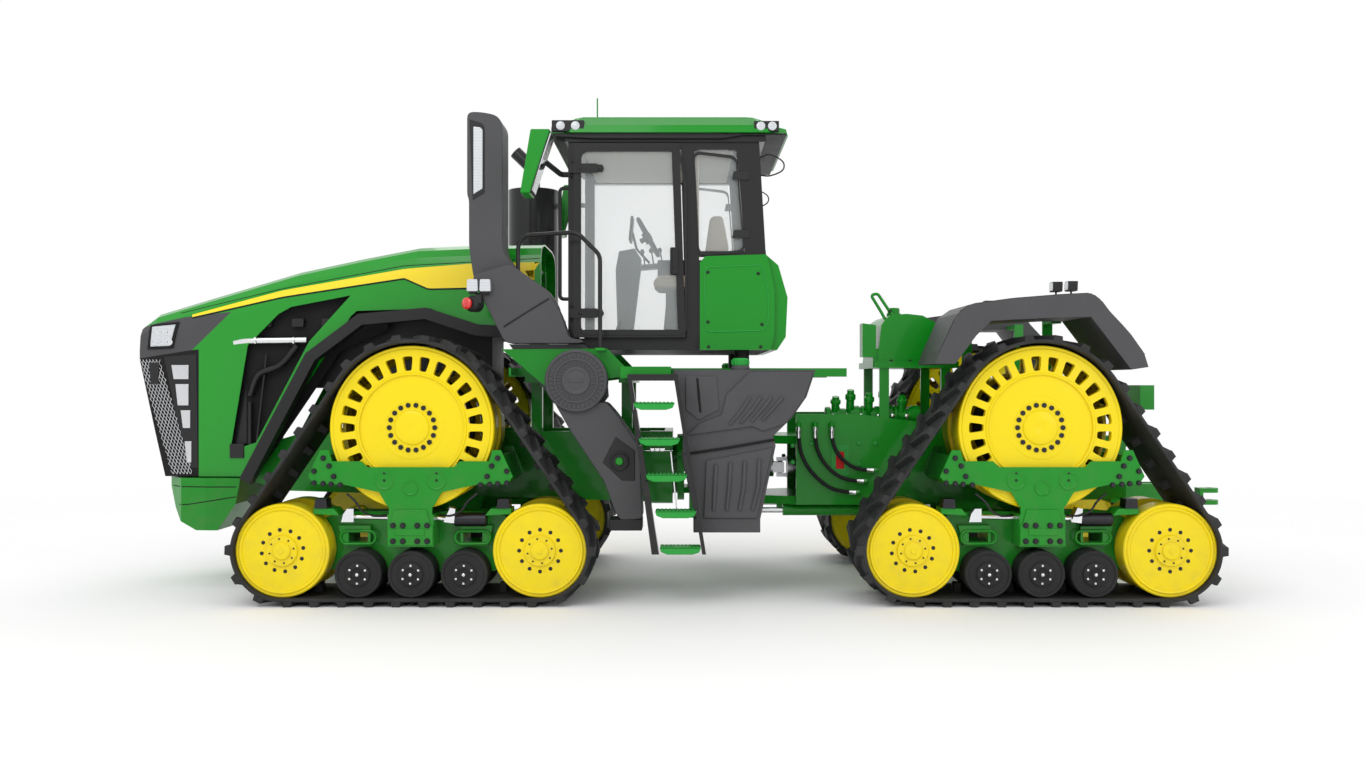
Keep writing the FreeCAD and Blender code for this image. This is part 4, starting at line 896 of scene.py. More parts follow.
def meshPoint(u, z):
    # u runs from the middle of the front round to the side
    corner = 0.43
    if u <= corner:
        return onFront(grilleSkin, -u, z, 0.006)
    return onSide(grilleSkin, frontEdge(z) + 0.055 + (u - corner), z, 0.006)


span = {"low": 0.0, "high": 0.62}
for tilt in (-1, 1):
    for k in range(-40, 62):
        line = []
        for step in range(66):
            z = mesh["bottom"] + (mesh["top"] - mesh["bottom"]) * step / 65
            u = k * mesh["pitch"] + tilt * (z - mesh["bottom"]) * 0.55
            point = meshPoint(u, z) if span["low"] <= u <= span["high"] else None
            if point and line and (point - line[-1]).length > 0.10:
                point = None
            if point:
                line.append(point)
            elif len(line) > 2:
                wires.tube(line, mesh["wire"], 4)
                line = []
            else:
                line = []
        if len(line) > 2:
            wires.tube(line, mesh["wire"], 4)
wires.mirror().build("grilleMesh", "hood", "grille_silver", smooth=60)

grilleBits = Shape()
skinStrip(grilleBits, grilleSkin, [(-4.430, 1.930), (-4.150, 1.950)], [(-4.235, 0.985), (-4.135, 1.000)],
          0.004, 16, 10)
skinStrip(grilleBits, grilleSkin, [(-4.560, 1.880), (-4.470, 1.880)], [(-4.545, 1.700), (-4.475, 1.700)],
          0.012, 8, 6)
grilleBits.mirror().build("grilleStruts", "hood", "black_plastic", bevel=0.002)
guard = Shape()
for x0, x1, z0, z1 in ((-4.365, -4.215, 1.74, 1.86), (-4.330, -4.215, 1.52, 1.70),
                       (-4.285, -4.200, 1.33, 1.48),
                       (-4.250, -4.190, 1.04, 1.22)):
    skinStrip(guard, grilleSkin, [(x0, z1), (x1, z1)], [(x0 + 0.02, z0), (x1, z0)], 0.010, 6, 6)
guard.mirror().build("radiatorGuard", "hood", "grille_silver", bevel=0.003)
print("hood and nose made")

# what shows through the openings of the hood: a near-black sheet as painted shade inside the bay, and engine
# bits before it
bay = Shape()
# the near-black sheet behind the vents is painted shade
bay.prism([(-3.900, 1.020), (-3.600, 1.020), (-2.950, 1.980), (-2.550, 2.150), (-2.550, 2.500),
           (-3.300, 2.400),
           (-3.720, 2.150)], -0.475, -0.455)
bay.block((-3.86, -0.560, 1.08), (-3.74, -0.478, 1.20), 1)
bay.rod((-3.700, -0.520, 1.14), (-3.700, -0.520, 1.55), 0.020, 14, 1)
bay.rod((-3.640, -0.525, 1.22), (-3.560, -0.525, 1.95), 0.012, 12, 1)
bay.tube(smoothPath([(-3.70, -0.52, 1.60), (-3.62, -0.53, 1.78), (-3.44, -0.53, 1.86),
                     (-3.30, -0.53, 2.02)]), 0.028, 12, 1)
for x in (-3.62, -3.35, -3.10):
    bay.block((x, -0.53, 2.18), (x + 0.10, -0.478, 2.25), 1)
bay.build("engineBay", "front_unit", [extras["darkTrimAndShade"], finishes["black_metal"]], "black_plastic",
          bevel=0.004)
pipe = Shape()
pipe.tube(smoothPath([(-3.83, -0.520, 2.045), (-3.70, -0.530, 2.062), (-3.45, -0.530, 2.066),
                      (-3.22, -0.530, 2.070)]), 0.030, 20)
for x in (-3.66, -3.34):
    pipe.lathe([(0.030, 0), (0.038, 0.004), (0.038, 0.022), (0.030, 0.026)], (x, -0.530, 2.065), (1, 0, 0),
               20)
pipe.rod((-3.42, -0.525, 1.50), (-3.36, -0.525, 1.74), 0.010, 10)
pipe.build("coolantPipe", "front_unit", "chrome_rod")


def rounded(outline, reach=0.05, steps=4):
    # each corner turns over a set reach, so that a moulding's outline runs softly
    softer = []
    count = len(outline)
    for i in range(count):
        before, corner, after = (Vector((*outline[(i + k) % count], 0)) for k in (-1, 0, 1))
        into, out = before - corner, after - corner
        start = corner + into.normalized() * min(reach, into.length * 0.45)
        end = corner + out.normalized() * min(reach, out.length * 0.45)
        for k in range(steps + 1):
            t = k / steps
            point = start * (1 - t) ** 2 + corner * 2 * t * (1 - t) + end * t ** 2
            softer.append((point.x, point.y))
    return softer


# intake stack, housing and leg duct
stack = {
    "column": [(0.365, 3.860), (0.475, 3.860), (0.600, 3.835), (0.645, 3.770), (0.645, 2.790), (0.665, 2.725),
               (0.720, 2.645), (1.000, 2.445), (1.080, 2.310), (1.080, 2.150), (0.610, 2.150), (0.415, 2.550),
               (0.380, 2.790), (0.380, 3.165), (0.365, 3.200)],
    "flare": [(0.720, 2.645), (1.000, 2.445), (1.110, 2.265), (1.165, 2.110), (1.185, 2.060), (1.290, 2.048),
              (1.290, 2.020), (0.680, 2.020), (0.415, 2.550)],
}
stackShape = Shape()
stackShape.prism(rounded([(frontAxle + x, z) for x, z in stack["column"]]), -1.090, -0.745)
stackShape.prism(rounded([(frontAxle + x, z) for x, z in stack["flare"]]), -1.180, -0.965)
stackPiece = stackShape.build("intakeStack", "front_unit", "grey_plastic",
                              bevel=0.028, steps=4)
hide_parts("intake_stack")

stackTrim = Shape()
seam = [(-1.475, 2.150), (-1.300, 2.262), (-1.120, 2.372)]
stackTrim.tube([(x, -1.182, z) for x, z in seam], 0.007, 8)
stackTrim.prism([(-1.735, 3.160), (-1.640, 3.215), (-1.640, 3.740), (-1.665, 3.770), (-1.760, 3.800)],
                -1.094, -1.088)
stackTrim.block((-1.700, -1.130, 2.360), (-1.600, -1.080, 2.420))
stackTrim.block((-1.690, -1.250, 2.330), (-1.640, -1.120, 2.400))
stackTrim.lathe([(0.060, 0), (0.066, 0.01), (0.066, 0.08), (0.050, 0.10)], (-1.680, -1.150, 2.330),
                (-0.6, -1, 0), 20)
for x in (-1.715, -1.615):
    stackTrim.block((x - 0.030, -1.215, 2.405), (x + 0.030, -1.165, 2.430))
stackTrim.build("stackTrim", "front_unit", "black_plastic", bevel=0.003)
stackLights = Shape()
stackLights.prism([(-1.728, 3.205), (-1.655, 3.250), (-1.655, 3.715), (-1.672, 3.735), (-1.728, 3.742)],
                  -1.102, -1.093)
for x in (-1.715, -1.615):
    stackLights.prism(rounded([(x - 0.044, 2.425), (x + 0.044, 2.425), (x + 0.040, 2.520),
                               (x - 0.040, 2.520)], 0.012), -1.235, -1.165)
stackLights.build("stackLights", "front_unit", extras["headlamp"], "grille_silver", bevel=0.006)
redLamp = Shape()
redLamp.lathe([(0.046, 0), (0.046, 0.014), (0.030, 0.024), (0.0, 0.026)], (-1.752, -1.232, 2.330),
              (-0.6, -1, 0), 20)
redLamp.build("stackRedLamp", "front_unit", extras["redLens"], "black_plastic")

fan = {"x": frontAxle + 1.250, "z": 1.725, "face": -1.320}
fanShape = Shape()
fanShape.lathe([(0.244, -0.10), (0.244, 0.0), (0.236, 0.010), (0.222, 0.012), (0.216, 0.002), (0.176, 0.002),
                (0.172, 0.010), (0.160, 0.010), (0.156, 0.002), (0.112, 0.003), (0.108, 0.012), (0.094,
                        0.014),
                (0.078, 0.006), (0.050, 0.010), (0.0, 0.012)], (fan["x"], fan["face"], fan["z"]), sides=72)
for k in range(36):
    turn = 2 * math.pi * k / 36
    c, s = math.cos(turn), math.sin(turn)
    fanShape.tube([(fan["x"] + c * 0.116, fan["face"] - 0.006, fan["z"] + s * 0.116),
                   (fan["x"] + c * 0.160, fan["face"] - 0.007, fan["z"] + s * 0.160),
                   (fan["x"] + c * 0.226, fan["face"] - 0.006, fan["z"] + s * 0.226)], 0.0045, 6)
fanShape.block((fan["x"] - 0.055, fan["face"] - 0.016, fan["z"] - 0.012),
               (fan["x"] + 0.055, fan["face"] - 0.004, fan["z"] + 0.012))
fanShape.build("fanCover", "front_unit", "grey_plastic", bevel=0.002)

duct = [(1.200, 1.340), (1.075, 1.560), (1.480, 1.560), (1.560, 1.470), (1.740, 1.215), (1.765, 0.650),
        (1.595, 0.640), (1.555, 0.695), (1.465, 0.940)]
ductShape = Shape()
ductShape.prism(rounded([(frontAxle + x, z) for x, z in duct], 0.03), -1.290, -0.950)
ductShape.block((frontAxle + 1.245, -1.200, 1.330), (frontAxle + 1.400, -0.960, 1.480))
ductPiece = ductShape.build("legDuct", "front_unit", "grey_plastic", bevel=0.022,
                            steps=3)
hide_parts("leg_duct")
ductTrim = Shape()
ductTrim.prism([(-0.690, 1.090), (-0.590, 1.290), (-0.440, 1.180), (-0.440, 0.950), (-0.540, 0.950)],
               -1.296, -1.286)
ductTrim.lathe([(0.075, 0), (0.075, 0.012), (0.062, 0.016), (0.060, 0.006), (0.0, 0.006)],
               (-0.560, -1.296, 1.100), sides=40)
ductTrim.block((-0.640, -1.295, 0.560), (-0.385, -1.000, 0.645))
ductTrim.build("ductTrim", "front_unit", "black_plastic", bevel=0.006)
knob = Shape()
knob.lathe([(0.030, 0), (0.030, 0.016), (0.024, 0.022), (0.0, 0.024)], (-0.560, -1.302, 1.100), sides=28)
knob.build("ductKnob", "front_unit", "frame_green")
print("intake made")

# fuel tanks, ladder
tank = {
    "outline": [(2.000, 1.810), (3.110, 1.810), (3.040, 1.600), (2.925, 1.435), (2.780, 1.295),
                (2.800, 1.220),
                (2.670, 0.600), (2.180, 0.640), (2.070, 1.120), (2.080, 1.320)],
    "low": -1.300, "high": -1.060,
}
tankShape = Shape()
tankShape.prism([(frontAxle + x, z) for x, z in tank["outline"]], tank["low"] + 0.012, tank["high"])
fx = frontAxle
tankShape.prism([(fx + 2.10, 1.30), (fx + 2.62, 1.372), (fx + 2.70, 1.335), (fx + 2.88, 1.395),
                 (fx + 3.02, 1.590),
                 (fx + 3.090, 1.795), (fx + 2.60, 1.795), (fx + 2.42, 1.62), (fx + 2.38, 1.46), (fx + 2.22,
                         1.40)], -1.306, -1.280)
tankShape.prism([(fx + 2.24, 0.66), (fx + 2.65, 0.66), (fx + 2.775, 1.205), (fx + 2.26, 1.105)], -1.306,
                -1.280)
tankShape.prism([(fx + 2.10, 1.76), (fx + 2.34, 1.76), (fx + 2.36, 1.50), (fx + 2.20, 1.42),
                 (fx + 2.10, 1.50)], -1.300, -1.280)
for k in range(4):
    x = fx + 2.325 + k * 0.100
    lean = 0.012 * k
    tankShape.tube([(x - 0.008, -1.308, 0.720), (x + lean, -1.312, 0.900),
                    (x + lean + 0.010, -1.308, 1.075 + 0.014 * k)], 0.017, 10)
for k in range(4):
    x = fx + 2.560 + k * 0.085
    tankShape.tube([(x - 0.120, -1.308, 1.385 + 0.012 * k), (x - 0.030, -1.312, 1.49 + 0.01 * k),
                    (x + 0.040, -1.308, 1.600)], 0.014, 10)
tankShape.block((fx + 2.16, -1.290, 0.545), (fx + 2.680, -1.080, 0.655))
tankShape.block((fx + 2.100, -1.070, 1.150), (fx + 2.400, -0.757, 1.750))
tankShape.lathe([(0.075, 0), (0.075, 0.03), (0.060, 0.05)], (fx + 2.530, -1.170, 1.800), (0, 0, 1), 28)
tankPiece = tankShape.mirror().build("fuelTanks", "front_unit", "grey_plastic",
                                     bevel=0.012, steps=3)
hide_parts("fuel_tanks")
capShape = Shape()
capShape.lathe([(0.062, 0), (0.066, 0.006), (0.066, 0.045), (0.056, 0.058), (0.0, 0.060)],
               (fx + 2.530, -1.170, 1.845), (0, 0, 1), 28)
for x, y in circlePlaces(14, 0.066):
    capShape.rod((fx + 2.530 + x, -1.170 + y, 1.852), (fx + 2.530 + x, -1.170 + y, 1.888), 0.006, 8)
capShape.mirror().build("fuelCaps", "front_unit", extras["lightGreen"], "frame_green")
tankGroove = Shape()
for x0, z0, x1, z1 in ((2.100, 1.155, 2.790, 1.268), (2.19, 1.745, 2.215, 1.480)):
    tankGroove.tube([(fx + x0, -1.296, z0), (fx + (x0 + x1) / 2, -1.300, (z0 + z1) / 2 - 0.004),
                     (fx + x1, -1.296, z1)], 0.010, 8)
tankGroove.mirror().build("tankSeams", "front_unit", extras["darkTrimAndShade"], "grey_plastic")

stepShape, stepGrip = Shape(), Shape()
stepLow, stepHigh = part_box("step_treads")
for x0, z in ((1.700, 1.530), (1.740, 1.257), (1.795, 0.982), (1.865, 0.705), (1.900, 0.428)):
    start = fx + x0
    lip = [(start, z + 0.027), (start + 0.318, z + 0.027), (start + 0.300, z - 0.012),
           (start + 0.250, z - 0.027),
           (start + 0.060, z - 0.027), (start + 0.012, z - 0.008)]
    stepShape.prism(lip, stepLow.y, stepLow.y + 0.014)
    stepShape.prism([(start + 0.004, z + 0.027), (start + 0.314, z + 0.027), (start + 0.314, z + 0.016),
                     (start + 0.004, z + 0.016)],
                    stepLow.y, stepHigh.y)
    for i in range(10):
        for y in (-1.470, -1.430, -1.390, -1.350):
            stepGrip.lathe([(0.010, 0), (0.008, 0.006), (0.004, 0.006)],
                           (start + 0.022 + i * 0.030, y, z + 0.027), (0, 0, 1), 8)
stepPiece = stepShape.build("stepTreads", "front_unit", extras["lightGreen"], "frame_green", bevel=0.004)
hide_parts("step_treads")
stepGrip.build("stepGrips", "front_unit", extras["lightGreen"], "frame_green")
stay = Shape()
stay.rod((fx + 1.985, -1.400, 1.180), (fx + 2.030, -1.400, 0.740), 0.006, 8)
stay.rod((fx + 1.780, -1.380, 1.190), (fx + 2.000, -1.380, 1.190), 0.006, 8)
for x in (1.84, 1.88, 1.92):
    stay.lathe([(0.010, 0), (0.018, 0.004), (0.018, 0.016), (0.010, 0.020)], (fx + x, -1.380, 1.200),
               sides=12)
stay.build("ladderStay", "front_unit", "chrome_rod")
print("tanks and ladder made")

# cab
cx = cabFront

roofShape = Shape()
for side in (-1, 1):
    # light clusters at the front and rear corners, under the roof's overhang
    for x0, x1, z0, z1 in ((cx - 0.125, cx + 0.135, 3.728, 3.818), (cx + 1.500, cx + 1.700, 3.728, 3.812)):
        roofShape.block((x0, side * 0.955 - 0.025, z0), (x1, side * 0.955 + 0.025, z1), 0)
        for k in (0, 1):
            cxx = x0 + (x1 - x0) * (0.27 + 0.46 * k)
            roofShape.lathe([(0.036, 0), (0.036, 0.006), (0.030, 0.009), (0.0, 0.007)],
                            (cxx, side * 0.980, (z0 + z1) / 2), (0, side, 0), 20, 1)
    for k in range(3):
        y = side * (0.18 + 0.27 * k)
        roofShape.block((cx - 0.146, y - 0.085, 3.735), (cx - 0.122, y + 0.085, 3.805), 0)
        roofShape.block((cx - 0.151, y - 0.070, 3.748), (cx - 0.140, y + 0.070, 3.795), 1)
        roofShape.block((cx + 1.690, y - 0.075, 3.733), (cx + 1.705, y + 0.075, 3.795), 0)
        roofShape.block((cx + 1.700, y - 0.060, 3.743), (cx + 1.711, y + 0.060, 3.786), 1)
roofShape.build("roofLights", "front_unit", [finishes["black_plastic"], extras["headlamp"]],
                "grille_silver", bevel=0.004)

roofTrim = Shape()
for side in (-1, 1):
    roofTrim.prism([(cx - 0.130, 3.712), (cx + 0.300, 3.740), (cx + 1.100, 3.752), (cx + 1.280, 3.716),
                    (cx + 1.400, 3.745),
                    (cx + 1.400, 3.700), (cx + 1.250, 3.676), (cx + 0.200, 3.676), (cx - 0.100, 3.690)],
                   side * 0.915, side * 0.955)
roofTrim.block((cx - 0.100, -0.90, 3.668), (cx + 1.600, 0.90, 3.700))
roofTrim.block((cx - 0.140, -0.955, 3.704), (cx + 1.765, 0.955, 3.719))
roofTrim.build("roofUnderside", "front_unit", "black_plastic", bevel=0.008)
roofSeam = Shape()
roofSkin = skinOf("cab_roof")
for side in (-1, 1):
    line = []
    for k in range(33):
        x = cx - 0.10 + 1.76 * k / 32
        hit = roofSkin.ray_cast(Vector((x, side * 0.845, 5)), Vector((0, 0, -1)))[0]
        if hit:
            line.append(hit + Vector((0, 0, 0.001)))
    roofSeam.tube(line, 0.004, 6)
roofSeam.build("roofSeams", "front_unit", extras["lightGreen"], "frame_green")

# seals and dark bands printed round the glass

def band(shape, outline, y, width, depth, mark=0):
    # a closed flat strip of (x, z) corners, wide inwards
    mx = sum(p[0] for p in outline) / len(outline)
    mz = sum(p[1] for p in outline) / len(outline)
    inner = []
    for px, pz in outline:
        reach = math.hypot(px - mx, pz - mz)
        inner.append((px + (mx - px) * width / reach, pz + (mz - pz) * width / reach))
    count = len(outline)
    points = [Vector((p[0], y + d, p[1])) for d in (0, depth) for p in outline + inner]
    faces = []
    for i in range(count):
        j = (i + 1) % count
        a, b, c, d = i, j, count + j, count + i
        faces.append((a, b, c, d))
        faces.append((2 * count + a, 2 * count + d, 2 * count + c, 2 * count + b))
        faces.append((a, 2 * count + a, 2 * count + b, b))
        faces.append((d, c, 2 * count + c, 2 * count + d))
    shape.add(points, faces, mark)


doorGlass = [(-0.905, 3.595), (-0.090, 3.600), (-0.035, 3.300), (-0.035, 2.090), (-0.905, 2.090)]
doorTrim = Shape()
band(doorTrim, rounded(doorGlass, 0.07), -0.9475, 0.030, 0.006)
for z in (3.435, 2.270):
    doorTrim.prism([(-0.960, z - 0.036), (-0.715, z - 0.030), (-0.700, z), (-0.715, z + 0.030),
                    (-0.960, z + 0.036)], -0.958, -0.946)
    doorTrim.lathe([(0.016, 0), (0.016, 0.008), (0.010, 0.012), (0.0, 0.012)], (-0.735, -0.958, z), sides=16)
    doorTrim.lathe([(0.016, 0), (0.016, 0.008), (0.010, 0.012), (0.0, 0.012)], (-0.890, -0.958, z), sides=16)
doorTrim.prism(rounded([(-0.170, 2.575), (-0.108, 2.575), (-0.108, 2.800), (-0.170, 2.800)], 0.012), -0.958,
               -0.946)
doorTrim.tube(smoothPath([(-0.140, -0.955, 2.600), (-0.140, -0.985, 2.630), (-0.140, -0.985, 2.740),
                          (-0.140, -0.955, 2.770)]), 0.010, 12)
doorTrim.build("doorTrim", "cab_door", "black_metal", bevel=0.002)
doorLever = Shape()
doorLever.block((-0.118, -0.906, 2.300), (-0.066, -0.886, 2.760))
doorLever.tube(smoothPath([(-0.095, -0.890, 2.330), (-0.095, -0.860, 2.360), (-0.095, -0.860, 2.700),
                           (-0.095, -0.890, 2.730)]), 0.012, 12)
doorLever.build("doorPull", "cab_door", "black_plastic", bevel=0.003)

sideTrim = Shape()
rearGlass = [(0.015, 3.585), (0.370, 3.545), (0.435, 2.760), (0.055, 2.735)]
for y, depth in ((-0.9075, 0.006), (0.9015, 0.006)):
    band(sideTrim, rounded(rearGlass, 0.06), y, 0.026, depth)
for side in (-1, 1):
    for z0, z1 in ((3.350, 3.420), (2.880, 2.945)):
        sideTrim.prism([(0.330, z0), (0.470, z0), (0.470, z1), (0.345, z1)], side * 0.912, side * 0.902)
sideTrim.build("glassTrim", "front_unit", "black_plastic", bevel=0.002)

# the moulded contours and bolts of the lower rear panels
panelShape = Shape()
for side in (-1, 1):
    contour = [(0.110, 2.640), (0.560, 2.660), (0.585, 2.610), (0.620, 2.450), (0.622, 2.200), (0.585, 2.130),
               (0.130, 2.120), (0.110, 2.170)]
    panelShape.tube([(x, side * 0.9435, z) for x, z in rounded(contour, 0.04)], 0.005, 8, closed=True)
    for x, z in ((0.135, 2.600), (0.135, 2.200), (0.540, 2.590), (0.570, 2.180), (0.140, 2.000),
                 (0.560, 2.000)):
        panelShape.lathe([(0.013, 0), (0.013, 0.004), (0.009, 0.008), (0.0, 0.008)], (x, side * 0.942, z),
                         (0, side, 0), 16, 1)
panelShape.build("rearPanelTrim", "front_unit", [extras["lightGreen"], extras["wheelBolt"]], "frame_green")

wireLoop = Shape()
for side in (-1, 1):
    wireLoop.tube(smoothPath([(0.560, side * 0.86, 3.540), (0.640, side * 0.90, 3.555),
                              (0.740, side * 0.90, 3.500),
                              (0.740, side * 0.90, 3.430), (0.640, side * 0.90, 3.385), (0.560, side * 0.86,
                                      3.395)]), 0.006, 8)
wireLoop.build("rearLoops", "front_unit", "black_metal")

# mirror housings: green backs over the dark frames, glass faced to the rear
housing = [(-0.236, 3.648), (-0.086, 3.648), (-0.092, 3.632), (-0.241, 3.158), (-0.316, 3.158),
           (-0.250, 3.560)]
housingShape = Shape()
for side in (-1, 1):
    y0, y1 = sorted((side * 1.172, side * 1.468))
    housingShape.prism([(cx + x, z) for x, z in housing], y0, y1)
housingShape.build("mirrorHousings", "front_unit", "frame_green", bevel=0.012,
                   steps=3)

glassShape = Shape()
for side in (-1, 1):
    glassShape.add([Vector((cx - 0.080, side * 1.20, 3.620)), Vector((cx - 0.080, side * 1.44, 3.620)),
                    Vector((cx - 0.227, side * 1.44, 3.185)), Vector((cx - 0.227, side * 1.20, 3.185)),
                    Vector((cx - 0.089, side * 1.20, 3.620)), Vector((cx - 0.089, side * 1.44, 3.620)),
                    Vector((cx - 0.234, side * 1.44, 3.185)), Vector((cx - 0.234, side * 1.20, 3.185))],
                   [(0, 1, 2, 3), (4, 7, 6, 5), (0, 4, 5, 1), (1, 5, 6, 2), (2, 6, 7, 3), (3, 7, 4, 0)])
glassShape.build("mirrorGlass", "front_unit", extras["mirrorGlass"], "glass_clear")
print("cab outside made")

# inside: headliner, pillars, console, levers, pedals
linerShape = Shape()
linerShape.block((cx + 0.11, -0.79, 3.600), (cx + 1.34, 0.79, 3.655))
for side in (-1, 1):
    linerShape.block((cx + 0.95, side * 0.815 - 0.012, 2.760), (cx + 1.06, side * 0.815 + 0.012, 3.640))
linerShape.build("headliner", "front_unit", extras["trim"], "seat_fabric", bevel=0.018)
consoleShape = Shape()
consoleShape.prism([(cx + 0.740, 2.090), (cx + 1.250, 2.090), (cx + 1.300, 2.600), (cx + 1.200, 2.790),
                    (cx + 0.800, 2.700)], 0.395, 0.640)
consoleShape.prism([(cx + 0.520, 2.790), (cx + 0.980, 2.830), (cx + 0.980, 2.790), (cx + 0.520, 2.750)],
                   0.385, 0.620)
consoleShape.block((cx + 1.10, -0.70, 2.090), (cx + 1.33, 0.70, 2.500))
consoleShape.build("sideConsole", "front_unit", extras["console"], "grey_plastic", bevel=0.020)
leverShape = Shape()
for x, z in ((0.58, 2.835), (0.66, 2.845), (0.74, 2.850)):
    leverShape.rod((cx + x, 0.50, z - 0.05), (cx + x - 0.02, 0.50, z + 0.075), 0.007, 10)
    leverShape.lathe([(0.0, 0), (0.018, 0.010), (0.020, 0.030), (0.012, 0.046), (0.0, 0.050)],
                     (cx + x - 0.02, 0.50, z + 0.06), (-0.2, 0, 1), 16)
leverShape.prism([(cx + 0.430, 3.020), (cx + 0.450, 3.240), (cx + 0.474, 3.240), (cx + 0.454, 3.010)],
                 0.420, 0.680)
leverShape.tube([(cx + 0.620, 0.55, 2.82), (cx + 0.500, 0.55, 2.95), (cx + 0.462, 0.55, 3.10)], 0.012, 10)
for y in (0.09, -0.09, -0.25):
    leverShape.prism([(cx + 0.330, 2.110), (cx + 0.360, 2.110), (cx + 0.400, 2.250), (cx + 0.385, 2.262)],
                     y - 0.045, y + 0.045)
leverShape.block((cx + 0.120, -0.780, 2.072), (cx + 1.090, 0.780, 2.082))
leverShape.build("cabControls", "front_unit", "black_plastic", bevel=0.004)

# steering wheel: a soft grip over the rim and a hub cap
wheel = {"hub": Vector((cx + 0.622, 0, 2.993)), "axis": Vector((0.875, 0, 0.485)).normalized(),
         "radius": 0.180}
across = Vector((0, 1, 0))
upward = wheel["axis"].cross(across).normalized()
wheelShape = Shape()
rim = [wheel["hub"] + across * math.cos(t) * wheel["radius"] + upward * math.sin(t) * wheel["radius"]
       for t in (2 * math.pi * k / 48 for k in range(48))]
wheelShape.tube(rim, 0.0185, 16, closed=True)
wheelShape.lathe([(0.046, -0.020), (0.050, 0.0), (0.044, 0.022), (0.028, 0.030), (0.0, 0.032)],
                 wheel["hub"], tuple(wheel["axis"]), 28)
wheelShape.build("wheelGrip", "steering_wheel", "black_plastic")

# seat cushions: plumped by a short cloth run, then their seams
soft = {
    "reach": 0.022, "bevel": 0.022, "voxel": 0.010, "pressure": 4, "lastFrame": 20,
    "padHalf": 0.245, "backHalf": 0.238,
    "pad": [(0.655, 2.545), (0.690, 2.535), (1.100, 2.535), (1.120, 2.560), (1.115, 2.615), (0.700, 2.622),
            (0.660, 2.600)],
    "back": [(1.100, 2.690), (1.160, 3.120), (1.180, 3.152), (1.270, 3.152), (1.280, 3.120), (1.325, 2.880),
             (1.275, 2.690)],
}


def softPiece(name, outline, half):
    shape = Shape()
    shape.prism([(cx + x, z) for x, z in outline], -half, half)
    piece = shape.build(name, "front_unit", "seat_fabric", bevel=soft["bevel"],
                        steps=2)
    remesh = piece.modifiers.new("weave", "REMESH")
    remesh.mode, remesh.voxel_size = "VOXEL", soft["voxel"]
    cloth = piece.modifiers.new("fill", "CLOTH")
    cloth.settings.use_pressure = True
    cloth.settings.uniform_pressure_force = soft["pressure"]
    cloth.settings.effector_weights.gravity = 0
    cloth.settings.quality = 4
    cloth.point_cache.frame_start, cloth.point_cache.frame_end = 1, soft["lastFrame"]
    return piece


def settle(pieces):
    # runs the cloth to its last frame, keeps every point within reach of where it began, applies it
    scene = bpy.context.scene
    depsgraph = bpy.context.evaluated_depsgraph_get()
    starts = {}
    for piece in pieces:
        piece.modifiers["fill"].show_viewport = False
    depsgraph.update()
    for piece in pieces:
        starts[piece.name] = [v.co.copy() for v in piece.evaluated_get(depsgraph).data.vertices]
        piece.modifiers["fill"].show_viewport = True
    for frameNumber in range(1, soft["lastFrame"] + 1):
        scene.frame_set(frameNumber)
    depsgraph = bpy.context.evaluated_depsgraph_get()
    for piece in pieces:
        mesh = bpy.data.meshes.new_from_object(piece.evaluated_get(depsgraph), depsgraph=depsgraph)
        if len(mesh.vertices) == len(starts[piece.name]):
            for vertex, start in zip(mesh.vertices, starts[piece.name]):
                move = vertex.co - start
                if move.length > soft["reach"]:
                    vertex.co = start + move.normalized() * soft["reach"]
        piece.modifiers.clear()
        piece.data = mesh
        piece.modifiers.new("smooth", "SUBSURF").levels = 1
    scene.frame_set(1)


pad = softPiece("seatPad", soft["pad"], soft["padHalf"])
back = softPiece("seatBack", soft["back"], soft["backHalf"])
settle([pad, back])
for piece in (pad, back):
    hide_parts("seat_cushions")
seams = Shape()
for y in (-0.12, 0.12):
    seams.tube(smoothPath([(cx + 0.700, y, 2.640), (cx + 0.900, y, 2.645), (cx + 1.080, y, 2.640)]), 0.0035,
               6)
seams.build("seatSeams", "front_unit", extras["trim"], "seat_fabric")
print("cab inside made")

# rear unit
ra = rearAxle
hoses = {
    "radius": 0.016, "y": -0.508,
    "routes": {
        "hydraulicHoseFront": ("hydraulic_hose_front",
                               [(0.640, 1.340), (0.640, 1.182), (0.700, 1.020), (0.810, 0.890),
                                (0.962, 0.790), (1.120, 0.790)]),
        "hydraulicHoseMiddle": ("hydraulic_hose_middle",
                                [(0.780, 1.340), (0.780, 1.205), (0.828, 1.070), (0.920, 0.960),
                                 (1.050, 0.885), (1.185, 0.885)]),
        "hydraulicHoseRear": ("hydraulic_hose_rear",
                              [(0.920, 1.340), (0.920, 1.231), (0.962, 1.120), (1.045, 1.030),
                               (1.155, 0.975), (1.268, 0.975)]),
    },
}


def makeHose(name, node, route):
    curve = bpy.data.curves.new(name, "CURVE")
    curve.dimensions = "3D"
    curve.bevel_depth = hoses["radius"]
    curve.bevel_resolution = 6
    curve.resolution_u = 14
    spline = curve.splines.new("NURBS")
    spline.points.add(len(route) - 1)
    for point, (x, z) in zip(spline.points, route):
        point.co = (pivot + x, hoses["y"], z, 1)
    spline.order_u = 3
    spline.use_endpoint_u = True
    piece = bpy.data.objects.new(name, curve)
    bpy.context.collection.objects.link(piece)
    curve.materials.append(finishes["hose_rubber"])
    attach(piece, "rear_unit")
    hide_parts(node)
    plain = curve.copy()
    plain.bevel_depth = 0
    line = bpy.data.objects.new(name + "Line", plain)
    bpy.context.collection.objects.link(line)
    bpy.context.view_layer.update()
    mesh = bpy.data.meshes.new_from_object(line.evaluated_get(bpy.context.evaluated_depsgraph_get()))
    points = [v.co.copy() for v in mesh.vertices]
    bpy.data.objects.remove(line)
    length = sum((b - a).length for a, b in zip(points, points[1:]))
    exitPoint = (pivot + route[0][0], hoses["y"], route[0][1])
    return piece, length, exitPoint


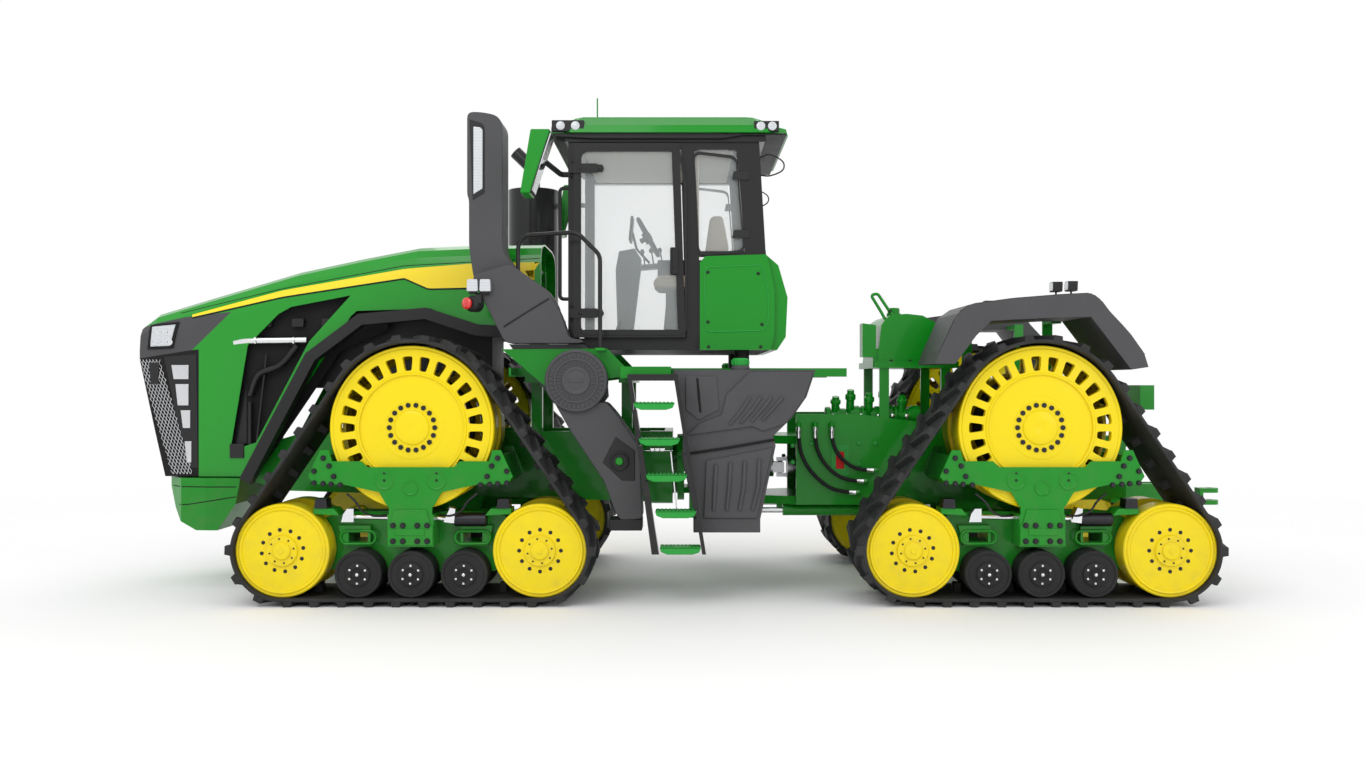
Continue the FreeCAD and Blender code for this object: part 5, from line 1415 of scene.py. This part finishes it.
for name, (node, route) in hoses["routes"].items():
    piece, length, exitPoint = makeHose(name, node, route)
    print(name, "runs", round(length, 3), "m")

ferrules = Shape()
for node, route in hoses["routes"].values():
    x, z = route[0]
    ferrules.lathe([(0.020, -0.050), (0.020, 0.0), (0.022, 0.004), (0.022, 0.030), (0.019, 0.034),
                    (0.019, 0.060), (0.017, 0.062)],
                   (pivot + x, hoses["y"], z - 0.045), (0, 0, 1), 20)
    x, z = route[-1]
    ferrules.lathe([(0.020, -0.050), (0.020, 0.0), (0.022, 0.004), (0.022, 0.030), (0.019, 0.034)],
                   (pivot + x - 0.005, hoses["y"], z), (1, 0, 0), 20)
ferrules.build("hoseFerrules", "rear_unit", "chrome_rod")

# the green valve block and its fittings
valve = Shape()
for x, wide, out in ((1.175, 0.075, 0.050), (1.300, 0.062, 0.060), (1.400, 0.085, 0.095),
                     (1.470, 0.085, 0.035),
                     (1.560, 0.070, 0.060), (1.680, 0.090, 0.100), (1.750, 0.090, 0.035), (1.880, 0.075,
                             0.050)):
    valve.lathe([(wide - 0.012, -out / 2), (wide, -out / 2 + 0.008), (wide, out / 2 - 0.008),
                 (wide - 0.012, out / 2)],
                (x, -0.300, 1.430), (1, 0, 0), 28, 0)
for x, tall in ((1.235, 0.16), (1.360, 0.22), (1.520, 0.19), (1.640, 0.25), (1.800, 0.17)):
    valve.lathe([(0.034, 0), (0.034, tall * 0.6), (0.044, tall * 0.62), (0.044, tall * 0.8),
                 (0.030, tall * 0.84), (0.030, tall)],
                (x, -0.330, 1.440), (0, -0.3, 1), 20, 0)
for k, x in enumerate((1.21, 1.33, 1.45, 1.60, 1.72, 1.84)):
    valve.lathe([(0.026, 0), (0.026, 0.020), (0.020, 0.024), (0.020, 0.044), (0.012, 0.048), (0.0, 0.048)],
                (x, -0.345, 1.430), (0, -1, 0), 6 if k % 2 else 18, 1)
    valve.block((x - 0.036, -0.350, 1.385), (x + 0.036, -0.326, 1.475), 0)
valve.build("valveFittings", "rear_unit", [finishes["frame_green"], finishes["chrome_rod"]], "frame_green",
            bevel=0.003)

plateBits = Shape()
for x, z in ((1.215, 1.150), (1.305, 1.150), (1.215, 0.965), (1.305, 0.965)):
    plateBits.lathe([(0.012, 0), (0.012, 0.005), (0.008, 0.008), (0.0, 0.008)], (x, -0.466, z), sides=12)
plateBits.block((1.185, -0.466, 0.930), (1.335, -0.460, 1.185))
plateBits.build("tagPlate", "rear_unit", extras["lightGreen"], "frame_green", bevel=0.002)
tagShape = Shape()
tagShape.prism(rounded([(1.225, 0.985), (1.295, 0.985), (1.295, 1.130), (1.225, 1.130)], 0.012), -0.472,
               -0.466)
tagShape.build("rearTag", "rear_unit", extras["tag"], "wheel_yellow")

# fender lamps, boxes and red lights
fenderLights, fenderReds, fenderTrim = Shape(), Shape(), Shape()
fenderLow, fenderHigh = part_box("rear_fenders")
fenderSkin = skinOf("rear_fenders")


def fenderTop(x, y):
    hit = fenderSkin.ray_cast(Vector((x, y, 4)), Vector((0, 0, -1)))[0]
    return hit.z if hit else fenderHigh.z


for side in (-1, 1):
    for x in (2.890, 3.010):
        top = fenderTop(x, side * 1.10)
        fenderTrim.rod((x, side * 1.10, top - 0.004), (x, side * 1.10, top + 0.045), 0.008, 10)
        fenderTrim.prism([(x - 0.036, top + 0.042), (x + 0.036, top + 0.042), (x + 0.040, top + 0.120),
                          (x - 0.034, top + 0.120)],
                         side * 1.10 - 0.050, side * 1.10 + 0.050)
        fenderLights.block((x + 0.034, side * 1.10 - 0.042, top + 0.050),
                           (x + 0.043, side * 1.10 + 0.042, top + 0.112))
        fenderLights.block((x - 0.043, side * 1.10 - 0.042, top + 0.050),
                           (x - 0.034, side * 1.10 + 0.042, top + 0.112))
    for z in (2.075, 2.125):
        spot = fenderSkin.ray_cast(Vector((6, side * 1.36, z)), Vector((-1, 0, 0)))[0]
        fenderReds.lathe([(0.030, -0.010), (0.030, 0.010), (0.022, 0.016), (0.0, 0.018)], spot,
                         (0.8, 0, 0.6), 24)
    # a rolled lip along the outer edge
    lip = []
    for k in range(30):
        x = fenderLow.x + 0.03 + (fenderHigh.x - fenderLow.x - 0.06) * k / 29
        hit = fenderSkin.ray_cast(Vector((x, side * 1.424, 4)), Vector((0, 0, -1)))[0]
        if hit:
            lip.append(hit)
    fenderTrim.tube(lip, 0.006, 8)
fenderLights.build("fenderLamps", "rear_unit", extras["headlamp"], "grille_silver", bevel=0.003)
fenderReds.build("fenderReds", "rear_unit", extras["redLens"], "wheel_yellow", bevel=0.002)
fenderTrim.build("fenderTrim", "rear_unit", "black_plastic", bevel=0.003)

# oil tank: bolts along both sides and the filler cap
oilTank = Shape()
tankLow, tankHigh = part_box("hydraulic_tank")
tankSkin = skinOf("hydraulic_tank")
for side in (-1, 1):
    for k in range(5):
        for z in (tankLow.z + 0.06, tankHigh.z - 0.16):
            spot = onSide(tankSkin, tankLow.x + 0.08 + (tankHigh.x - tankLow.x - 0.16) * k / 4, z, 0.0, side)
            if spot:
                oilTank.lathe([(0.014, -0.004), (0.014, 0.005), (0.009, 0.009), (0.0, 0.009)], spot,
                              (0, side, 0), 6, 1)
cap = tankSkin.ray_cast(Vector(((tankLow.x + tankHigh.x) / 2 - 0.10, -0.20, 4)), Vector((0, 0, -1)))[0]
oilTank.lathe([(0.060, -0.02), (0.060, 0.020), (0.052, 0.024), (0.052, 0.060), (0.044, 0.068),
               (0.0, 0.070)], cap, (0, 0, 1), 24, 0)
oilTank.build("oilTankBolts", "rear_unit", [finishes["frame_green"], extras["wheelBolt"]], "frame_green")

coupler = Shape()
couplerLow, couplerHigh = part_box("rear_couplers")
for row in range(2):
    for k in range(6):
        y = -0.255 + 0.102 * k
        z = couplerLow.z + 0.055 + 0.105 * row
        coupler.lathe([(0.030, 0), (0.030, 0.010), (0.024, 0.012), (0.024, 0.022), (0.014, 0.022),
                       (0.012, 0.010), (0.0, 0.010)],
                      (couplerHigh.x - 0.001, y, z), (1, 0, 0), 20, 0)
coupler.build("couplerSockets", "rear_unit", "steel_shaft")
couplerLids = Shape()
for k in range(6):
    y = -0.255 + 0.102 * k
    couplerLids.block((couplerHigh.x - 0.002, y - 0.034, couplerLow.z + 0.100),
                      (couplerHigh.x + 0.020, y + 0.034, couplerLow.z + 0.112))
# the lids take the red lens finish, whose emission is a painted glow, though they are no lamp
couplerLids.build("couplerLids", "rear_unit", extras["redLens"], "wheel_yellow", bevel=0.002)

frameBits = Shape()
for side in (-1, 1):
    for x, z in ((0.86, 1.18), (0.86, 1.04), (1.02, 1.20), (1.42, 1.20), (1.42, 1.02), (1.56, 1.20)):
        hexBolt(frameBits, (x, side * 0.461, z), 0.032, 0.014, (0, side, 0))
frameBits.build("rearFrameBolts", "rear_unit", extras["lightGreen"], "frame_green", bevel=0.001)
print("rear unit made")
